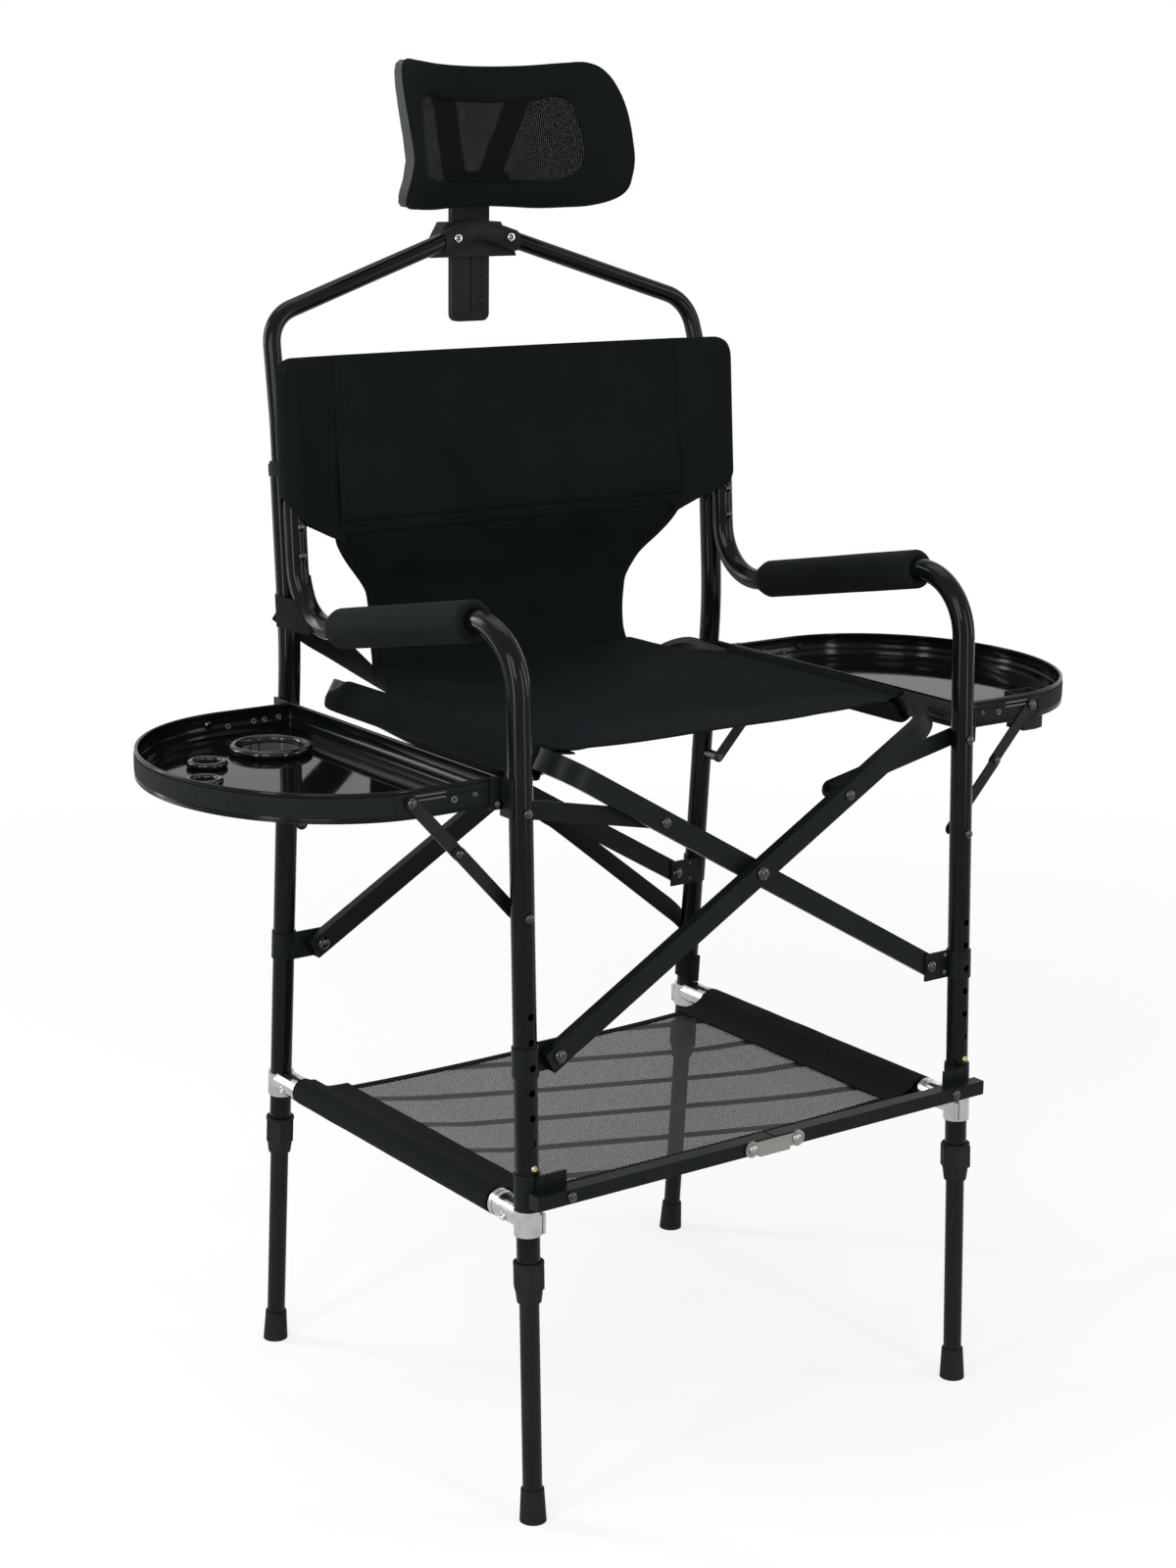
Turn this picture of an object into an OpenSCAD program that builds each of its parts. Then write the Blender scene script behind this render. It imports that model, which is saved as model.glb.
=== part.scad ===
// Folding tall chair with side trays, a lower shelf, telescopic legs and a headrest on a plug-in hoop.
// Millimetres. The chair faces -Y, X runs across it and Z is up from the floor.

/* [Frame tubes] */
// Distance between the centre lines of the left and the right legs
leg_span = 604; // [560:1:660]
// Outer diameter of the frame tubes
tube_d = 25; // [22:0.5:28]
// Wall of the frame tubes
tube_wall = 1.5; // [1:0.1:2]
// Reach of the front feet ahead of the middle
front_foot = 272.6; // [250:1:300]
// Rearward lean of the front legs, for each mm of height
front_lean = 0.041; // [0:0.005:0.08]
// Reach of the rear feet behind the middle
rear_foot = 272.6; // [250:1:300]
// Forward lean of the rear legs, for each mm of height
rear_lean = 0.0666; // [0:0.005:0.1]
// Height where the frame tubes end above the floor
frame_end = 262; // [220:1:300]
// Height where the rear posts turn to lean back
post_kink = 860; // [840:1:880]
// Rearward lean of the posts and uprights, for each mm of height
back_lean = 0.075; // [0.03:0.005:0.12]
// Bend radius of the post kink
kink_bend = 600; // [400:10:700]
// Height of the rear post tops
post_top = 1060; // [1040:1:1080]
// Height of the front corner of the armrest tube, on the axis
arm_front = 963; // [930:1:990]
// Height of the rear corner of the armrest tube, on the axis
arm_rear = 882.4; // [860:1:900]
// Bend radius at the front of the armrest
arm_front_bend = 70; // [55:1:80]
// Bend radius at the rear of the armrest
arm_rear_bend = 65; // [55:1:75]
// Height of the upright tops inside the back sleeves
upright_top = 1170; // [1130:1:1200]
// Length of a soft arm pad
pad_length = 276; // [200:1:300]
// Outer diameter of a soft arm pad
pad_d = 45; // [36:1:50]
// Distance of the pad's front end behind the front corner of the arm
pad_setback = 74.7; // [70:0.5:90]

/* [Telescopic legs] */
// Diameter of the extension tubes
leg_d = 21; // [19:0.5:21.5]
// Wall of the extension tubes
leg_wall = 1.2; // [0.8:0.1:1.6]
// Height of the extension tube tops when fully out
leg_top = 425; // [410:1:450]
// Distance between two height settings
step = 27; // [20:1:30]
// Number of height holes in each leg
holes = 7; // [3:1:7]
// Height of the lowest height hole
hole_z = 394; // [380:1:400]
// Diameter of a snap button
button_d = 7; // [5:0.5:8]
// How far a snap button stands out of the frame tube
button_out = 2.1; // [1.5:0.1:3]
// Diameter of a foot on the floor
foot_d = 29; // [27:0.5:36]
// Height of a foot
foot_h = 36; // [25:1:50]
// Diameter of a lock collar across its corners
collar_d = 36; // [32:0.5:42]
// Height of the six-sided part of a lock collar
collar_h = 28; // [20:1:34]

/* [Folding seat frames] */
// Distance between the two lower pivots
pivot_span = 528; // [500:1:540]
// Height of the lower pivots
pivot_z = 507.3; // [490:1:520]
// Rise of the cross members above the horizontal when open
cross_angle = 30.2; // [28:0.1:32]
// Distance from a seat rail to the crossing pivot
rail_reach = 289.3; // [280:0.5:300]
// Distance from a guide link pin to the crossing pivot
pin_reach = 138.8; // [130:0.5:150]
// Width of the frame member, seen from the front
member_w = 24; // [20:0.5:26]
// Thickness of the frame member
member_t = 12; // [10:0.5:13]
// Wall of the frame member
member_wall = 1.5; // [1:0.1:2]
// Inside bend of the frame member at the rails
member_bend = 32; // [25:1:40]
// How far a member runs on below its lower pivot
member_end = 14; // [13:0.5:18]
// Diameter of the pivot bolts
bolt_d = 8; // [6:0.5:9]
// Thickness of the pivot ear plates
ear_t = 2.5; // [2:0.1:3]
// Height of a guide link's pivot on the front leg
link_z = 768; // [750:1:785]
// Width of a guide link
link_w = 20; // [16:0.5:22]

/* [Cross bar] */
// Height of the folding bar, at its middle
bar_z = 364.5; // [355:0.5:375]
// Side of the square bar
bar_w = 16; // [14:0.5:18]
// Wall of the square bar
bar_wall = 1.4; // [1:0.1:2]
// Distance between the pivots at the ends of the bar
bar_span = 539; // [520:1:550]
// How far the bar runs on beyond its end pivots
bar_end = 43; // [30:1:45]
// Distance between the two pivots of the centre plate
latch_span = 61; // [50:1:80]
// Width of the centre plate
latch_w = 82; // [75:1:100]
// Thickness of the centre plate
latch_t = 2.5; // [2:0.1:3]

/* [Trays] */
// Height of the tray floors, underside
tray_z = 775; // [765:1:785]
// Height of a tray wall
tray_wall_h = 30; // [20:1:40]
// Thickness of a tray wall
tray_wall_t = 2; // [1.5:0.1:2.5]
// Thickness of a tray floor
tray_floor_t = 2; // [1.5:0.1:2.5]
// Gap between the leg centre line and the tray
tray_gap = 14; // [13.5:0.5:16]
// Reach of a tray outward from the leg centre line
tray_reach = 286; // [240:1:300]
// Length of the straight ends of a tray, outward
tray_flat = 89; // [70:1:110]
// Front edge of a tray
tray_front = -225.2; // [-235:0.1:-220]
// Rear edge of a tray
tray_rear = 190; // [180:0.1:190.5]
// Outer diameter of the large holder ring
cup_d = 90; // [70:1:95]
// Outer diameter of the first small holder ring
tool_d = 43; // [35:1:46]
// Outer diameter of the second small holder ring
brush_d = 40; // [32:1:42]
// Thickness of the large ring's round section
cup_bead = 9; // [6:0.5:10]
// Thickness of the small rings' round section
tool_bead = 7; // [5:0.5:8]
// Length of a tray stay's upper bar
stay_upper = 80; // [78:0.5:82]
// Width of the stay bars
stay_w = 14; // [10:0.5:15]
// Thickness of the stay bars
stay_t = 2; // [1.5:0.1:2]

/* [Shelf] */
// Height of the shelf side tubes
shelf_z = 338; // [330:1:340]
// Diameter of the shelf side tubes
shelf_d = 22; // [19:0.5:23]
// Outer diameter of the shelf clamps
clamp_d = 30; // [28:0.5:32]
// Thickness of the shelf cloth
shelf_t = 2.4; // [1:0.1:3]

/* [Headrest hoop] */
// Diameter of the hoop tube
hoop_d = 20; // [18:0.5:21]
// Wall of the hoop tube
hoop_wall = 1.5; // [1:0.1:2]
// Height where the hoop starts to lean back
hoop_start = 1110; // [1095:1:1130]
// Rearward lean of the hoop, for each mm of height
hoop_lean = 0.285; // [0.2:0.005:0.35]
// Height of the hoop's upper corners
hoop_corner = 1222; // [1200:1:1240]
// How far the hoop draws in at each upper corner
hoop_draw = 9; // [0:1:20]
// Height of the hoop's peak
hoop_peak = 1315; // [1290:1:1330]
// Bend radius of the hoop corners
hoop_bend = 45; // [35:1:60]
// Bend radius of the hoop's peak
peak_bend = 60; // [40:1:80]
// Depth of the hoop in the left post
hoop_seat = 160; // [120:1:180]
// Width of the centre sleeve
saddle_w = 104; // [80:1:120]
// Wall of the centre sleeve
saddle_wall = 1.45; // [1.2:0.05:2]

/* [Headrest] */
// Width of the headrest stem
stem_w = 52; // [40:1:60]
// Thickness of the headrest stem
stem_t = 8.5; // [6:0.5:9]
// Lower end of the stem
stem_z = 1205; // [1190:1:1230]
// Height of the headrest hinge
tilt_z = 1350; // [1345:1:1355]
// Distance of the headrest hinge behind the middle
tilt_y = 300; // [298:0.5:301]
// Curve of the headrest across the neck
head_curve = 190; // [184:1:230]
// Depth of the headrest's rim
rim_depth = 14; // [10:0.5:16]
// Width of the headrest's rim
rim_w = 13; // [8:0.5:18]
// Thickness of the headrest net
net_t = 1.6; // [1:0.1:2.5]
// Thickness of the headrest yoke
yoke_t = 6; // [4:0.5:6]
// Width of the yoke's arms
yoke_arm_w = 27; // [22:0.5:30]

/* [Cloth] */
// Thickness of the seat and back cloth
cloth_t = 2; // [1:0.1:3]
// Height of the seat cloth at the rails
seat_z = 817; // [814:0.5:820]
// Sag of the seat cloth in the middle
seat_sag = 14; // [5:0.5:25]
// Top of the back cloth
back_top = 1182; // [1175:1:1210]
// Lower end of the sleeves of the back cloth
sleeve_low = 1011; // [1005:1:1030]
// Width of the carrying strap
strap_w = 38; // [25:1:45]
// Height of the strap's loop on the left post
strap_high = 920; // [900:1:935]
// Height of the strap's loop on the right rear leg
strap_low = 372; // [360:1:385]

/* [Clearances] */
// Gap all round the extension tubes in the frame tubes
slide_gap = 0.5; // [0.2:0.05:0.6]
// Gap round pins, bolts and rivets in their holes
pin_gap = 0.1; // [0.05:0.01:0.2]
// Gap between parts that turn on each other
turn_gap = 0.3; // [0.2:0.05:0.4]
// Gap round tubes in clamps and collars
grip_gap = 0.15; // [0.1:0.01:0.3]
// Gap between cloth and the tubes inside it
cloth_gap = 0.3; // [0.1:0.05:0.5]

/* [Hidden] */
$fn = 48;

L = -1;
R = 1;
tr = tube_d / 2;
black = "#17181a";
coal = "#2c2e31";
foam = "#26272a";
steel = "#b9bcc0";
chromed = "#d5d7da";
cloth = "#1d1f24";
brassy = "#b08d3c";

// Axes of the legs, posts and uprights, as the distance behind the middle at a height
function front_y(z) = -front_foot + front_lean * z;
function rear_y(z) = rear_foot - rear_lean * z;
function post_y(z) = rear_y(post_kink) + back_lean * (z - post_kink);
function up_y(z) = post_y(z) - (tube_d + 0.6);

// Members of the seat frames stand in these layers, from front to rear
a_front = front_y(pivot_z) + ear_t / 2 + 5.05 - ear_t - turn_gap - member_t;
ear_front = a_front + member_t + turn_gap;
b_front = ear_front + ear_t + turn_gap;
ear_rear = rear_y(pivot_z) - 13.8;
a_rear = ear_rear - turn_gap - member_t;
b_rear = ear_rear + ear_t + turn_gap;
cross_reach = pivot_span / 2 / cos(cross_angle);
member_s = rail_reach + cross_reach;
cross_z = pivot_z + cross_reach * sin(cross_angle);
rail_x = rail_reach * cos(cross_angle);
rail_z = cross_z + rail_reach * sin(cross_angle);
pin_x = pin_reach * cos(cross_angle);
pin_z = cross_z + pin_reach * sin(cross_angle);
link_t = 2.5;
link_y = front_y(link_z + 26) + tr + turn_gap;

// Folding bar, in front of the front legs
bar_plate = front_y(bar_z) - clamp_d / 2 - 1.8;
bar_rear = bar_plate - 1;
bar_front = bar_rear - bar_w;
latch_front = bar_front - 0.5 - latch_t;

// Hoop, bracket and stem
function hoop_y(z) = post_y(hoop_start) + hoop_lean * (z - hoop_start);
peak_y = hoop_y(hoop_peak - 3);
clip_front = peak_y + hoop_d / 2 + grip_gap + saddle_wall;
stem_y = clip_front + 1.5;
clip_rear = stem_y + stem_t + 6;

// The frame is centred on the floor point under its own box
mid_y = (latch_front - 3 + clip_rear) / 2;

module placed() {
  translate([0, -mid_y, 0]) children();
}

// Bars bent in one plane: straight runs between the corners p, with bends of radius b
function unit(v) = v / norm(v);
function way(p, i) = unit(p[i + 1] - p[i]);
function side_of(p, i) = cross(way(p, i - 1), way(p, i)) > 0 ? 1 : -1;
function turn_of(p, i) = acos(way(p, i - 1) * way(p, i));
function cut_of(p, b, i) = i == 0 || i == len(p) - 1 ? 0 : b[i] * tan(turn_of(p, i) / 2);

module rod(from, to, r) {
  v = to - from;
  translate([from[0], from[1], 0]) rotate([0, 0, atan2(v[1], v[0])]) rotate([0, 90, 0]) cylinder(h = norm(v), r = r);
}

// A narrow band, seam proud of the bar, covers each joint of a run and a bend
seam = 0.08;
seam_w = 0.6;

module bent(p, b, r) {
  for (i = [0:len(p) - 2])
    rod(p[i] + way(p, i) * cut_of(p, b, i), p[i + 1] - way(p, i) * cut_of(p, b, i + 1), r);
  if (len(p) > 2) for (i = [1:len(p) - 2]) {
    s = side_of(p, i);
    w = way(p, i - 1);
    start = p[i] - w * cut_of(p, b, i);
    end = p[i] + way(p, i) * cut_of(p, b, i);
    rod(start - w * seam_w, start + w * seam_w, r + seam);
    rod(end - way(p, i) * seam_w, end + way(p, i) * seam_w, r + seam);
    centre = p[i] - w * cut_of(p, b, i) + s * b[i] * [-w[1], w[0]];
    v = s > 0 ? p[i] - w * cut_of(p, b, i) - centre : p[i] + way(p, i) * cut_of(p, b, i) - centre;
    translate([centre[0], centre[1], 0]) rotate([0, 0, atan2(v[1], v[0])]) rotate_extrude(angle = turn_of(p, i)) translate([b[i], 0]) circle(r = r);
  }
}

// Turns a drawing of rearward distance and height into the side plane at x
module in_side(x) {
  translate([x, 0, 0]) rotate([90, 0, 90]) children();
}

// Origin on a leg axis at height z, with Z along the leg
module on_front(s, z) {
  translate([s * leg_span / 2, front_y(z), z]) rotate([-atan(front_lean), 0, 0]) children();
}

module on_rear(s, z) {
  translate([s * leg_span / 2, rear_y(z), z]) rotate([atan(rear_lean), 0, 0]) children();
}

module on_leg(s, f, z) {
  if (f < 0) on_front(s, z) children();
  else on_rear(s, z) children();
}

// Pins and rivet heads along Y
module pin(x, z, y0, y1, r) {
  translate([x, y0, z]) rotate([-90, 0, 0]) cylinder(h = y1 - y0, r = r);
}

module head(x, z, y, way, r, h) {
  translate([x, y, z]) rotate([-90 * way, 0, 0]) cylinder(h = h, r1 = r, r2 = r * 0.62);
}

// A flat bar with round ends, from one point to another, between y and y + t
module strip(p, q, w, y, t, hp, hq) {
  v = q - p;
  translate([p[0], y + t, p[1]]) rotate([90, 0, 0]) rotate([0, 0, atan2(v[1], v[0])]) linear_extrude(t) difference() {
    union() {
      circle(w / 2);
      translate([norm(v), 0]) circle(w / 2);
      translate([0, -w / 2]) square([norm(v), w]);
    }
    if (hp > 0) circle(hp);
    if (hq > 0) translate([norm(v), 0]) circle(hq);
  }
}

function arm_path(low, high) = [
  [front_y(frame_end - low), frame_end - low],
  [front_y(arm_front), arm_front],
  [up_y(arm_rear), arm_rear],
  [up_y(upright_top + high), upright_top + high]
];
arm_bends = [0, arm_front_bend, arm_rear_bend, 0];
arm_way = unit([up_y(arm_rear), arm_rear] - [front_y(arm_front), arm_front]);

function post_path(low, high) = [
  [rear_y(frame_end - low), frame_end - low],
  [rear_y(post_kink), post_kink],
  [post_y(post_top + high), post_top + high]
];

rivet_low = 967;
rivet_high = 999;
tray_hinge_x = leg_span / 2 + 20;
tray_hinge_z = tray_z + 1;
stay_z = 660;
stay_x = tray_hinge_x + 100.6;
stay_top = tray_hinge_z + 14;

module arm_tube(s) {
  x = s * leg_span / 2;
  difference() {
    in_side(x) difference() {
      bent(arm_path(0, 0), arm_bends, tr);
      bent(arm_path(2, -tube_wall * 2), arm_bends, tr - tube_wall);
    }
    for (k = [0:holes - 1])
      on_front(s, hole_z) translate([0, 0, k * step]) rotate([90, 0, 0]) cylinder(h = tr + 3, r = button_d / 2 + 0.3);
    for (z = [rivet_low, rivet_high]) pin(x, z, up_y(z) - tr - 2, up_y(z) + tr + 2, 2.5 + pin_gap);
    pin(x, link_z, front_y(link_z) - tr - 2, front_y(link_z) + tr + 2, 3 + pin_gap);
    pin(x, stay_z, front_y(stay_z) - tr - 2, front_y(stay_z) + tr + 2, 3 + pin_gap);
  }
}

module rear_post(s) {
  x = s * leg_span / 2;
  difference() {
    in_side(x) difference() {
      bent(post_path(0, 0), [0, kink_bend, 0], tr);
      bent(post_path(2, 2), [0, kink_bend, 0], tr - tube_wall);
    }
    for (k = [0:holes - 1])
      on_rear(s, hole_z) translate([0, 0, k * step]) rotate([-90, 0, 0]) cylinder(h = tr + 3, r = button_d / 2 + 0.3);
    for (z = [rivet_low, rivet_high]) pin(x, z, post_y(z) - tr - 2, post_y(z), 2.5 + pin_gap);
    pin(x, stay_z, rear_y(stay_z) - tr - 2, rear_y(stay_z) + tr + 2, 3 + pin_gap);
  }
}

// Plastic ring on the post top that holds the hoop
module post_collar(s) {
  in_side(s * leg_span / 2) difference() {
    union() {
      rod([post_y(post_top - 8), post_top - 8], [post_y(post_top + 5), post_top + 5], tr + 1.5);
      rod([post_y(post_top + 4.9), post_top + 4.9], [post_y(post_top + 8), post_top + 8], tr);
    }
    rod([post_y(post_top - 9), post_top - 9], [post_y(post_top), post_top], tr + grip_gap);
    rod([post_y(post_top - 1), post_top - 1], [post_y(post_top + 9), post_top + 9], hoop_d / 2 + 0.2);
    rod([up_y(post_top - 30), post_top - 30], [up_y(post_top + 30), post_top + 30], tr + cloth_gap);
  }
}

module arm_pad(s) {
  p = [front_y(arm_front), arm_front];
  a = p + arm_way * pad_setback;
  r = pad_d / 2;
  in_side(s * leg_span / 2) translate([a[0], a[1], 0]) rotate([0, 0, atan2(arm_way[1], arm_way[0])]) rotate([0, 90, 0]) rotate_extrude()
    polygon([[tr + grip_gap, 0], [r - 2.5, 0], [r, 2.5], [r, pad_length - 12], [r - 5, pad_length], [tr + grip_gap, pad_length]]);
}

// Ear plates for the seat frames, bracket of the bar and hinge plates of the tray, on one side
plate_h = 32;

module ear(s, front) {
  y = front ? ear_front : ear_rear;
  w = leg_span / 2 - pivot_span / 2 + 9;
  difference() {
    union() {
      translate([s < 0 ? -leg_span / 2 : leg_span / 2 - w, y, pivot_z - plate_h / 2 - 1]) cube([w, ear_t, plate_h]);
      on_leg(s, front ? -1 : 1, pivot_z - plate_h / 2 - 1) cylinder(h = plate_h, r = tr + 1.7);
    }
    on_leg(s, front ? -1 : 1, pivot_z - plate_h) cylinder(h = 2 * plate_h, r = tr + grip_gap);
    for (k = [3:5]) on_leg(s, front ? -1 : 1, hole_z) translate([0, 0, k * step]) rotate([front ? 90 : -90, 0, 0]) cylinder(h = tr + 6, r = button_d / 2 + 0.5);
    pin(s * pivot_span / 2, pivot_z, y - 1, y + ear_t + 1, bolt_d / 2 + 0.05);
    if (s > 0) for (z = [-10, 10]) pin(s * (leg_span / 2 - 17.5), pivot_z + z, y - 1, y + ear_t + 1, 2 + pin_gap);
  }
}

plate_x = tr + pin_gap;
hinge_plate_t = 3;
hinge_ear = 2.6;
hinge_front = tray_front - 1.2 - hinge_ear;
hinge_rear = tray_rear + 1.2;

module hinge_plate(s, front) {
  y0 = front ? front_y(tray_z + 8) - 6 : hinge_rear;
  y1 = front ? hinge_front + hinge_ear : rear_y(tray_z + 8) + 6;
  ear0 = front ? hinge_front : hinge_rear;
  x0 = leg_span / 2 + plate_x;
  difference() {
    union() {
      translate([s > 0 ? x0 : -x0 - hinge_plate_t, y0, tray_hinge_z - 13]) cube([hinge_plate_t, y1 - y0, 40]);
      translate([s > 0 ? x0 : -x0 - 16, ear0, tray_hinge_z - 6]) cube([16, hinge_ear, 33]);
    }
    pin(s * tray_hinge_x, tray_hinge_z, ear0 - 1, ear0 + hinge_ear + 1, 3 + pin_gap);
  }
}

module bar_bracket(s) {
  z = bar_z + 3.5;
  difference() {
    union() {
      on_front(s, z - 19.5) cylinder(h = 38.7, r = tr + 2);
      translate([s < 0 ? -leg_span / 2 : bar_span / 2 - 4.5, bar_plate - 1, z - 16]) cube([leg_span / 2 - bar_span / 2 + 4.5, 3, 36]);
    }
    on_front(s, z - 40) cylinder(h = 80, r = tr + grip_gap);
    if (s < 0) pin(s * bar_span / 2, bar_z, bar_plate - 2, bar_plate + 6, 3 + 0.05);
    on_front(s, hole_z) rotate([90, 0, 0]) cylinder(h = tr + 12, r = button_d / 2 + 4);
  }
}

module brackets(s) {
  ear(s, true);
  ear(s, false);
  hinge_plate(s, true);
  hinge_plate(s, false);
  bar_bracket(s);
}

// Cast clamp round a leg with a branch that holds the shelf tube
branch_front = -206;
branch_rear = 198;

module shelf_clamp(s, f) {
  x = s * leg_span / 2;
  leg = f < 0 ? front_y(shelf_z) : rear_y(shelf_z);
  reach = f < 0 ? branch_front : branch_rear;
  difference() {
    union() {
      on_leg(s, f, shelf_z - 18) cylinder(h = 28, r = clamp_d / 2);
      pin(x, shelf_z, min(leg, reach), max(leg, reach), clamp_d / 2 - 0.8);
      pin(x, shelf_z, min(reach, reach + f * 6), max(reach, reach + f * 6), clamp_d / 2 - 0.2);
      translate([x - s * 9 - 4, leg + f * (clamp_d / 2 - 4) - 3, shelf_z - 16]) cube([8, 6, 22]);
    }
    on_leg(s, f, shelf_z - 40) cylinder(h = 80, r = tr + grip_gap);
    pin(x, shelf_z, min(leg, reach - f), max(leg, reach - f), shelf_d / 2 + grip_gap);
    translate([x - 30, leg - 40, shelf_z + 10]) cube([60, 80, 20]);
    translate([x - s * 9 - 0.6, leg + f * (clamp_d / 2 - 1.5) - 4, shelf_z - 19]) cube([1.2, 8, 30]);
  }
}

module shelf_clamps(s) {
  shelf_clamp(s, -1);
  shelf_clamp(s, 1);
}

module shelf_tube(s) {
  y0 = front_y(shelf_z) + tr + 2;
  y1 = rear_y(shelf_z) - tr - 2;
  difference() {
    pin(s * leg_span / 2, shelf_z, y0, y1, shelf_d / 2);
    pin(s * leg_span / 2, shelf_z, y0 - 1, y1 + 1, shelf_d / 2 - 1.5);
  }
}

module rivets(s) {
  x = s * leg_span / 2;
  q = s * pivot_span / 2;
  for (z = [rivet_low, rivet_high]) {
    pin(x, z, up_y(z) - tr - 0.6, post_y(z) - tr + tube_wall + 0.3, 2.5);
    head(x, z, up_y(z) - tr - 0.5, -1, 4.5, 2.4);
  }
  // guide link pivot
  pin(x, link_z, front_y(link_z) - tr - 0.4, link_y + link_t + turn_gap, 3);
  head(x, link_z, front_y(link_z) - tr - 0.3, -1, 5, 2.8);
  head(x, link_z, link_y + link_t + turn_gap, 1, 5, 2.5);
  // tray stay pivots
  pin(x, stay_z, front_y(stay_z) - tr - 0.4, stay_low_front + stay_t + turn_gap, 3);
  head(x, stay_z, front_y(stay_z) - tr - 0.3, -1, 5, 2.8);
  head(x, stay_z, stay_low_front + stay_t + turn_gap, 1, 4.2, 0.9);
  pin(x, stay_z, stay_low_rear - turn_gap, rear_y(stay_z) + tr + 0.5, 3);
  pin(x, stay_z, stay_low_rear + stay_t + turn_gap, rear_y(stay_z) - tr - 0.2, 6);
  head(x, stay_z, stay_low_rear - turn_gap, -1, 4.2, 0.9);
  head(x, stay_z, rear_y(stay_z) + tr + 0.4, 1, 5, 2.7);
  // tray hinge pins
  pin(s * tray_hinge_x, tray_hinge_z, hinge_front - 0.1, tray_front + tray_wall_t, 3);
  head(s * tray_hinge_x, tray_hinge_z, hinge_front - 0.1, -1, 4.2, 2.8);
  pin(s * tray_hinge_x, tray_hinge_z, tray_rear - tray_wall_t, hinge_rear + hinge_ear + 0.1, 3);
  head(s * tray_hinge_x, tray_hinge_z, hinge_rear + hinge_ear + 0.1, 1, 4.2, 2.8);
  // seat frame pivots
  if (s < 0) {
    pin(q, pivot_z, a_front - turn_gap, ear_front + ear_t + 0.1, bolt_d / 2);
    head(q, pivot_z, a_front - turn_gap, -1, 7.5, 3.5);
    head(q, pivot_z, ear_front + ear_t + 0.1, 1, 7, 3.5);
    pin(q, pivot_z, a_rear - turn_gap, ear_rear + ear_t + 0.1, bolt_d / 2);
    head(q, pivot_z, a_rear - turn_gap, -1, 7.5, 3.5);
    head(q, pivot_z, ear_rear + ear_t + 0.1, 1, 7, 3.5);
    pin(s * bar_span / 2, bar_z, bar_front - turn_gap, bar_plate + 2.2, 3);
    head(s * bar_span / 2, bar_z, bar_front - turn_gap, -1, 5.5, 3);
    head(s * bar_span / 2, bar_z, bar_plate + 2.1, 1, 5, 2);
  } else {
    pin(q, pivot_z, ear_front - 0.1, b_front + member_t + turn_gap, bolt_d / 2);
    head(q, pivot_z, ear_front - 0.1, -1, 7, 3.5);
    head(q, pivot_z, b_front + member_t + turn_gap, 1, 7.5, 3.5);
    pin(q, pivot_z, ear_rear - 0.1, b_rear + member_t + turn_gap, bolt_d / 2);
    head(q, pivot_z, ear_rear - 0.1, -1, 7, 3.5);
    head(q, pivot_z, b_rear + member_t + turn_gap, 1, 7.5, 3.5);
    for (z = [-10, 10]) {
      pin(s * (leg_span / 2 - 17.5), pivot_z + z, ear_front - 0.1, ear_front + ear_t, 2);
      head(s * (leg_span / 2 - 17.5), pivot_z + z, ear_front - 0.1, -1, 3.6, 1.8);
      pin(s * (leg_span / 2 - 17.5), pivot_z + z, ear_rear, ear_rear + ear_t + 0.1, 2);
      head(s * (leg_span / 2 - 17.5), pivot_z + z, ear_rear + ear_t + 0.1, 1, 3.6, 1.8);
    }
  }
}

// Telescopic leg, its foot, snap button and lock collar
function foot_cut(f) = f < 0 ? front_lean : rear_lean;

module ext_leg(s, f) {
  x = s * leg_span / 2;
  difference() {
    on_leg(s, f, 0) translate([0, 0, 5]) difference() {
      cylinder(h = leg_top - 5, r = leg_d / 2);
      translate([0, 0, -1]) cylinder(h = leg_top - 3, r = leg_d / 2 - leg_wall);
    }
    on_leg(s, f, hole_z) rotate([-90 * f, 0, 0]) cylinder(h = tr + 2, r = button_d / 2 + 0.15);
  }
}

module foot(s, f) {
  intersection() {
    on_leg(s, f, 0) difference() {
      translate([0, 0, -4]) cylinder(h = foot_h + 4, r1 = foot_d / 2 + 0.2, r2 = tr);
      translate([0, 0, 5 - turn_gap]) cylinder(h = foot_h, r = leg_d / 2 + 0.1);
    }
    translate([s * leg_span / 2 - 40, (f < 0 ? front_y(0) : rear_y(0)) - 40, 0]) cube([80, 80, 80]);
  }
}

module button(s, f) {
  on_leg(s, f, hole_z) rotate([-90 * f, 0, 0]) {
    translate([0, 0, 5.2]) cylinder(h = 2.4, r = button_d / 2 + 1);
    translate([0, 0, 7]) cylinder(h = tr + button_out - 1.2 - 7, r = button_d / 2);
    translate([0, 0, tr + button_out - 1.2]) cylinder(h = 1.2, r1 = button_d / 2, r2 = button_d / 2 - 1.1);
  }
}

module lock_collar(s, f) {
  on_leg(s, f, frame_end) difference() {
    union() {
      cylinder(h = collar_h - 3, r = collar_d / 2, $fn = 6);
      translate([0, 0, collar_h - 3]) cylinder(h = 3, r = collar_d / 2 - 1.6);
      translate([0, 0, -tube_d * 0.64]) cylinder(h = tube_d * 0.64, r1 = tr + 0.5, r2 = collar_d / 2 - 3);
    }
    translate([0, 0, -0.3]) cylinder(h = collar_h + 1, r = tr + grip_gap);
    translate([0, 0, -20]) cylinder(h = 30, r = leg_d / 2 + slide_gap - 0.1);
  }
}

// Tray, drawn in the plane of its floor
tray_mid = (tray_front + tray_rear) / 2;
tray_in = leg_span / 2 + tray_gap;
tray_a = tray_reach - tray_flat - tray_gap;
tray_b = (tray_rear - tray_front) / 2;

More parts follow.
